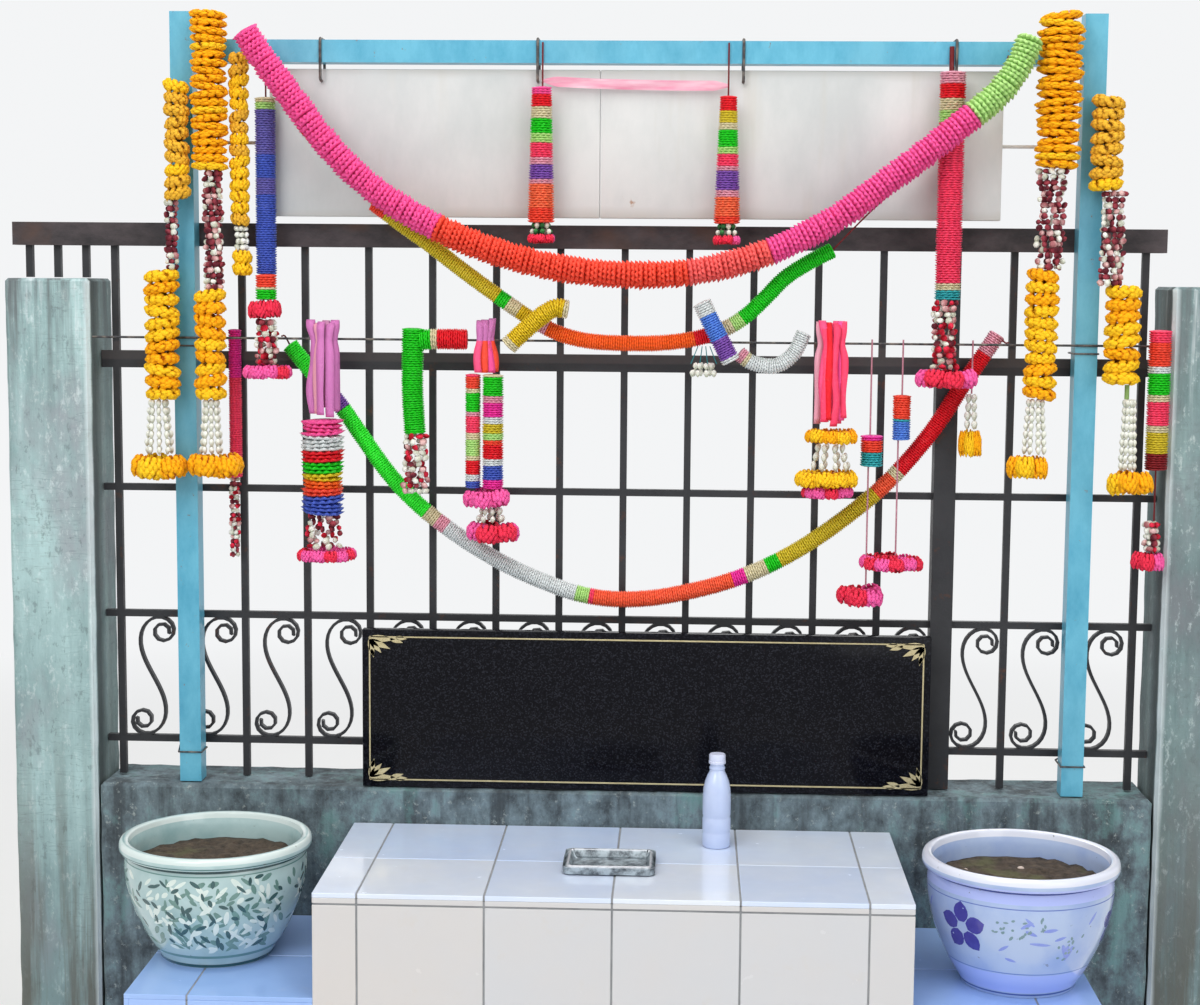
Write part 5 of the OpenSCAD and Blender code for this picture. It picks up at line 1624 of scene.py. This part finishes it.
ribbon_loops("left_ribbon_bunch", wire_left, 249, -34, 137, 30, 27, 6,
             ["mauve", "pale_pink", "mauve", "dusty_mauve", "mauve"], width=15 * MM)
ribbon_loops("middle_ribbon_bunch", wire_left, 526, -39, 57, 21, 18.2, 6, ["rose", "hot_pink", "salmon"], "mauve")
ribbon_loops("right_ribbon_bunch", wire_right, -434, -41, 145, 30, 27, 9,
             ["pale_pink", "rose", "rose_red", "crimson", "rose", "rose_red", "rose", "hot_pink", "rose_red"])
hang(join("wire_stacks", [
    *strand(wire_left, wire_front, 27, [
        ("ruffles", 245, 137, 301, 38, [
            (0.17, "hot_pink"), (0.30, "white_crepe"), (0.43, "crimson"), (0.57, "grass_green"),
            (0.65, "bright_yellow"), (0.72, "orange"), (0.81, "salmon"), (1.0, "royal_blue")]),
        ("beads", 245, 301, 361, 36, MIXED), ("rim", 251, 361, 384, 52, ["red_petal", "pink_petal"])]),
    *strand(wire_left, wire_front, 18.2, [("rings", 504, 57, 254, 14, [
        (0.03, "rose_red"), (0.13, "salmon"), (0.17, "cream"), (0.32, "grass_green"), (0.37, "pale_pink"),
        (0.505, "rose_red"), (0.57, "cream"), (0.72, "leaf_green"), (0.75, "cream"), (0.88, "crimson"),
        (0.945, "white_crepe"), (1.0, "royal_blue")])]),
    *strand(wire_left, wire_front, 25, [
        ("rings", 539, 57, 254, 19, [
            (0.03, "cream"), (0.18, "grass_green"), (0.235, "pale_pink"), (0.37, "magenta"), (0.42, "white_crepe"),
            (0.51, "olive_yellow"), (0.575, "leaf_green"), (0.61, "salmon"), (0.74, "crimson"),
            (0.80, "white_crepe"), (0.91, "royal_blue"), (1.0, "magenta")]),
        ("rim", 530, 254, 287, 43, ["pink_petal"]), ("tassel", 536, 287, 312, 30, BUDS),
        ("rim", 541, 312, 349, 48, ["pink_petal", "red_petal", "pink_petal"])]),
    *strand(wire_right, wire_front, 27, [
        ("rim", -432, 145, 170, 46, ["yellow_marigold", "marigold"]), ("tassel", -433, 170, 216, 40, BUDS),
        ("rim", -439, 216, 246, 55, ["marigold", "yellow_marigold", "yellow_marigold"]),
        ("rim", -437, 242, 264, 45, ["pink_petal", "red_petal"])])]),
    ["ribbon_bunches"])


# Short lengths of gathered crepe tube are folded over the wire: green at the left with a tassel
# of small flowers, white at the right, and a yellow and a blue one across the middle swag.
def crepe_tube(name, anchor, route, y, radius, stretches):
    """A short crepe tube along a route given in millimetres right of and below its anchor."""
    line = smooth_route([Vector((anchor.x + x * MM, y, anchor.z - drop * MM)) for x, drop in route], 0.004)
    return thread(name, fine_ruffle, 4 * MM, line, radius, stretches, 0.03)


loop_r, white_r, cross_r = 20 * MM, 14 * MM, 17 * MM
wire_middle = Vector((FRAME_MIDDLE, 0, WIRE_HEIGHT))
cross_y = MIDDLE_Y - 15 * MM - WIRE_GAP - cross_r
bud_threads = [
    string("bud_thread", [(wire_middle.x + dx * MM, MIDDLE_Y, WIRE_HEIGHT - 6 * MM),
                          (wire_middle.x + (124 + 2.2 * (dx - 124)) * MM, MIDDLE_Y, WIRE_HEIGHT - 36 * MM)],
           0.8 * MM, "teal") for dx in (114, 121, 127, 134)]
looped = [
    *bud_threads, *strand(wire_middle, MIDDLE_Y + WIRE_GAP + 28 * MM, 28, [("tassel", 124, 34, 58, 28, BUDS)]),
    crepe_tube("green_tube", wire_left, [(401, -20), (400, 35), (400, 90), (404, 160)],
               wire_front - WIRE_GAP - loop_r, loop_r, [(1.0, "grass_green")]),
    crepe_tube("red_tube", wire_left, [(412, 0), (440, -2), (494, -2)], wire_front - WIRE_GAP - loop_r,
               loop_r * 0.94, [(0.25, "grass_green"), (0.38, "cream"), (1.0, "crimson")]),
    *strand(wire_left, wire_front, 20, [("beads", 404, 160, 264, 28, MIXED)]),
    crepe_tube("white_tube", wire_right, [(-591, 18), (-567, 34), (-528, 38), (-498, 17), (-481, -18)],
               wire_front - WIRE_GAP - white_r, white_r,
               [(0.07, "pale_pink"), (0.15, "cream"), (1.0, "white_crepe")]),
    crepe_tube("blue_tube", wire_middle, [(119, -69), (136, -34), (154, 0), (170, 30)], cross_y, cross_r,
               [(0.22, "white_crepe"), (0.62, "sky_blue"), (0.92, "violet"), (1.0, "white_crepe")]),
    crepe_tube("yellow_tube", wire_middle, [(-208, 8), (-182, -17), (-152, -43), (-128, -57), (-106, -55)],
               cross_y, cross_r, [(0.10, "cream"), (0.94, "bright_yellow"), (1.0, "cream")])]
hang(join("looped_crepe_tubes", looped), ["looped_tubes"])


# Smaller garlands hang from the wire on plain strings: a long ring stack at its right end, two
# short stacks over red rims, a small marigold and, by the left post, a pink tube with beads.
small = [
    *strand(wire_end, wire_front, 20, [
        ("rings", -20, -28, 209, 20, [
            (0.08, "rose_red"), (0.26, "salmon"), (0.30, "white_crepe"), (0.46, "grass_green"), (0.50, "cream"),
            (0.68, "rose_red"), (0.73, "cream"), (0.88, "olive_yellow"), (1.0, "dark_red")]),
        ("string", -20, 209, 297, 1.5, ["dark_red"]), ("beads", -23, 297, 349, 18, MIXED),
        ("rim", -28, 349, 384, 29, ["pink_petal", "red_petal"])]),
    *strand(wire_right, wire_front, 1.5, [
        ("string", -311, -8, 87, 1.5, ["pale_pink"]),
        ("rings", -311, 87, 164, 16, [(0.5, "salmon"), (0.6, "teal"), (1.0, "sky_blue")]),
        ("string", -316, 164, 364, 1.5, ["pale_pink"]), ("rim", -323, 364, 390, 56, ["pink_petal", "red_petal"]),
        ("string", -364, -8, 156, 1.5, ["pale_pink"]),
        ("rings", -361, 156, 210, 20, [(0.15, "magenta"), (0.55, "salmon"), (1.0, "teal")]),
        ("string", -366, 210, 417, 1.5, ["pale_pink"]), ("rim", -374, 417, 452, 43, ["pink_petal", "red_petal"]),
        ("string", -193, -8, 84, 1.5, ["pale_pink"]), ("tassel", -193, 84, 144, 15, BUDS),
        ("rim", -193, 144, 195, 21, ["marigold", "yellow_marigold"])]),
    *strand(wire_left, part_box("fence_wide_panel")[0].y, 12, [
        ("rings", 79, -14, 246, 12, [(0.32, "magenta"), (1.0, "rose_red")]),
        ("beads", 76, 246, 387, 12, MIXED)])]
hang(join("small_garlands", small), ["small_strands"])

for unit in (coarse_ruffle, fine_ruffle, head, bead, bud):
    bpy.data.objects.remove(unit)
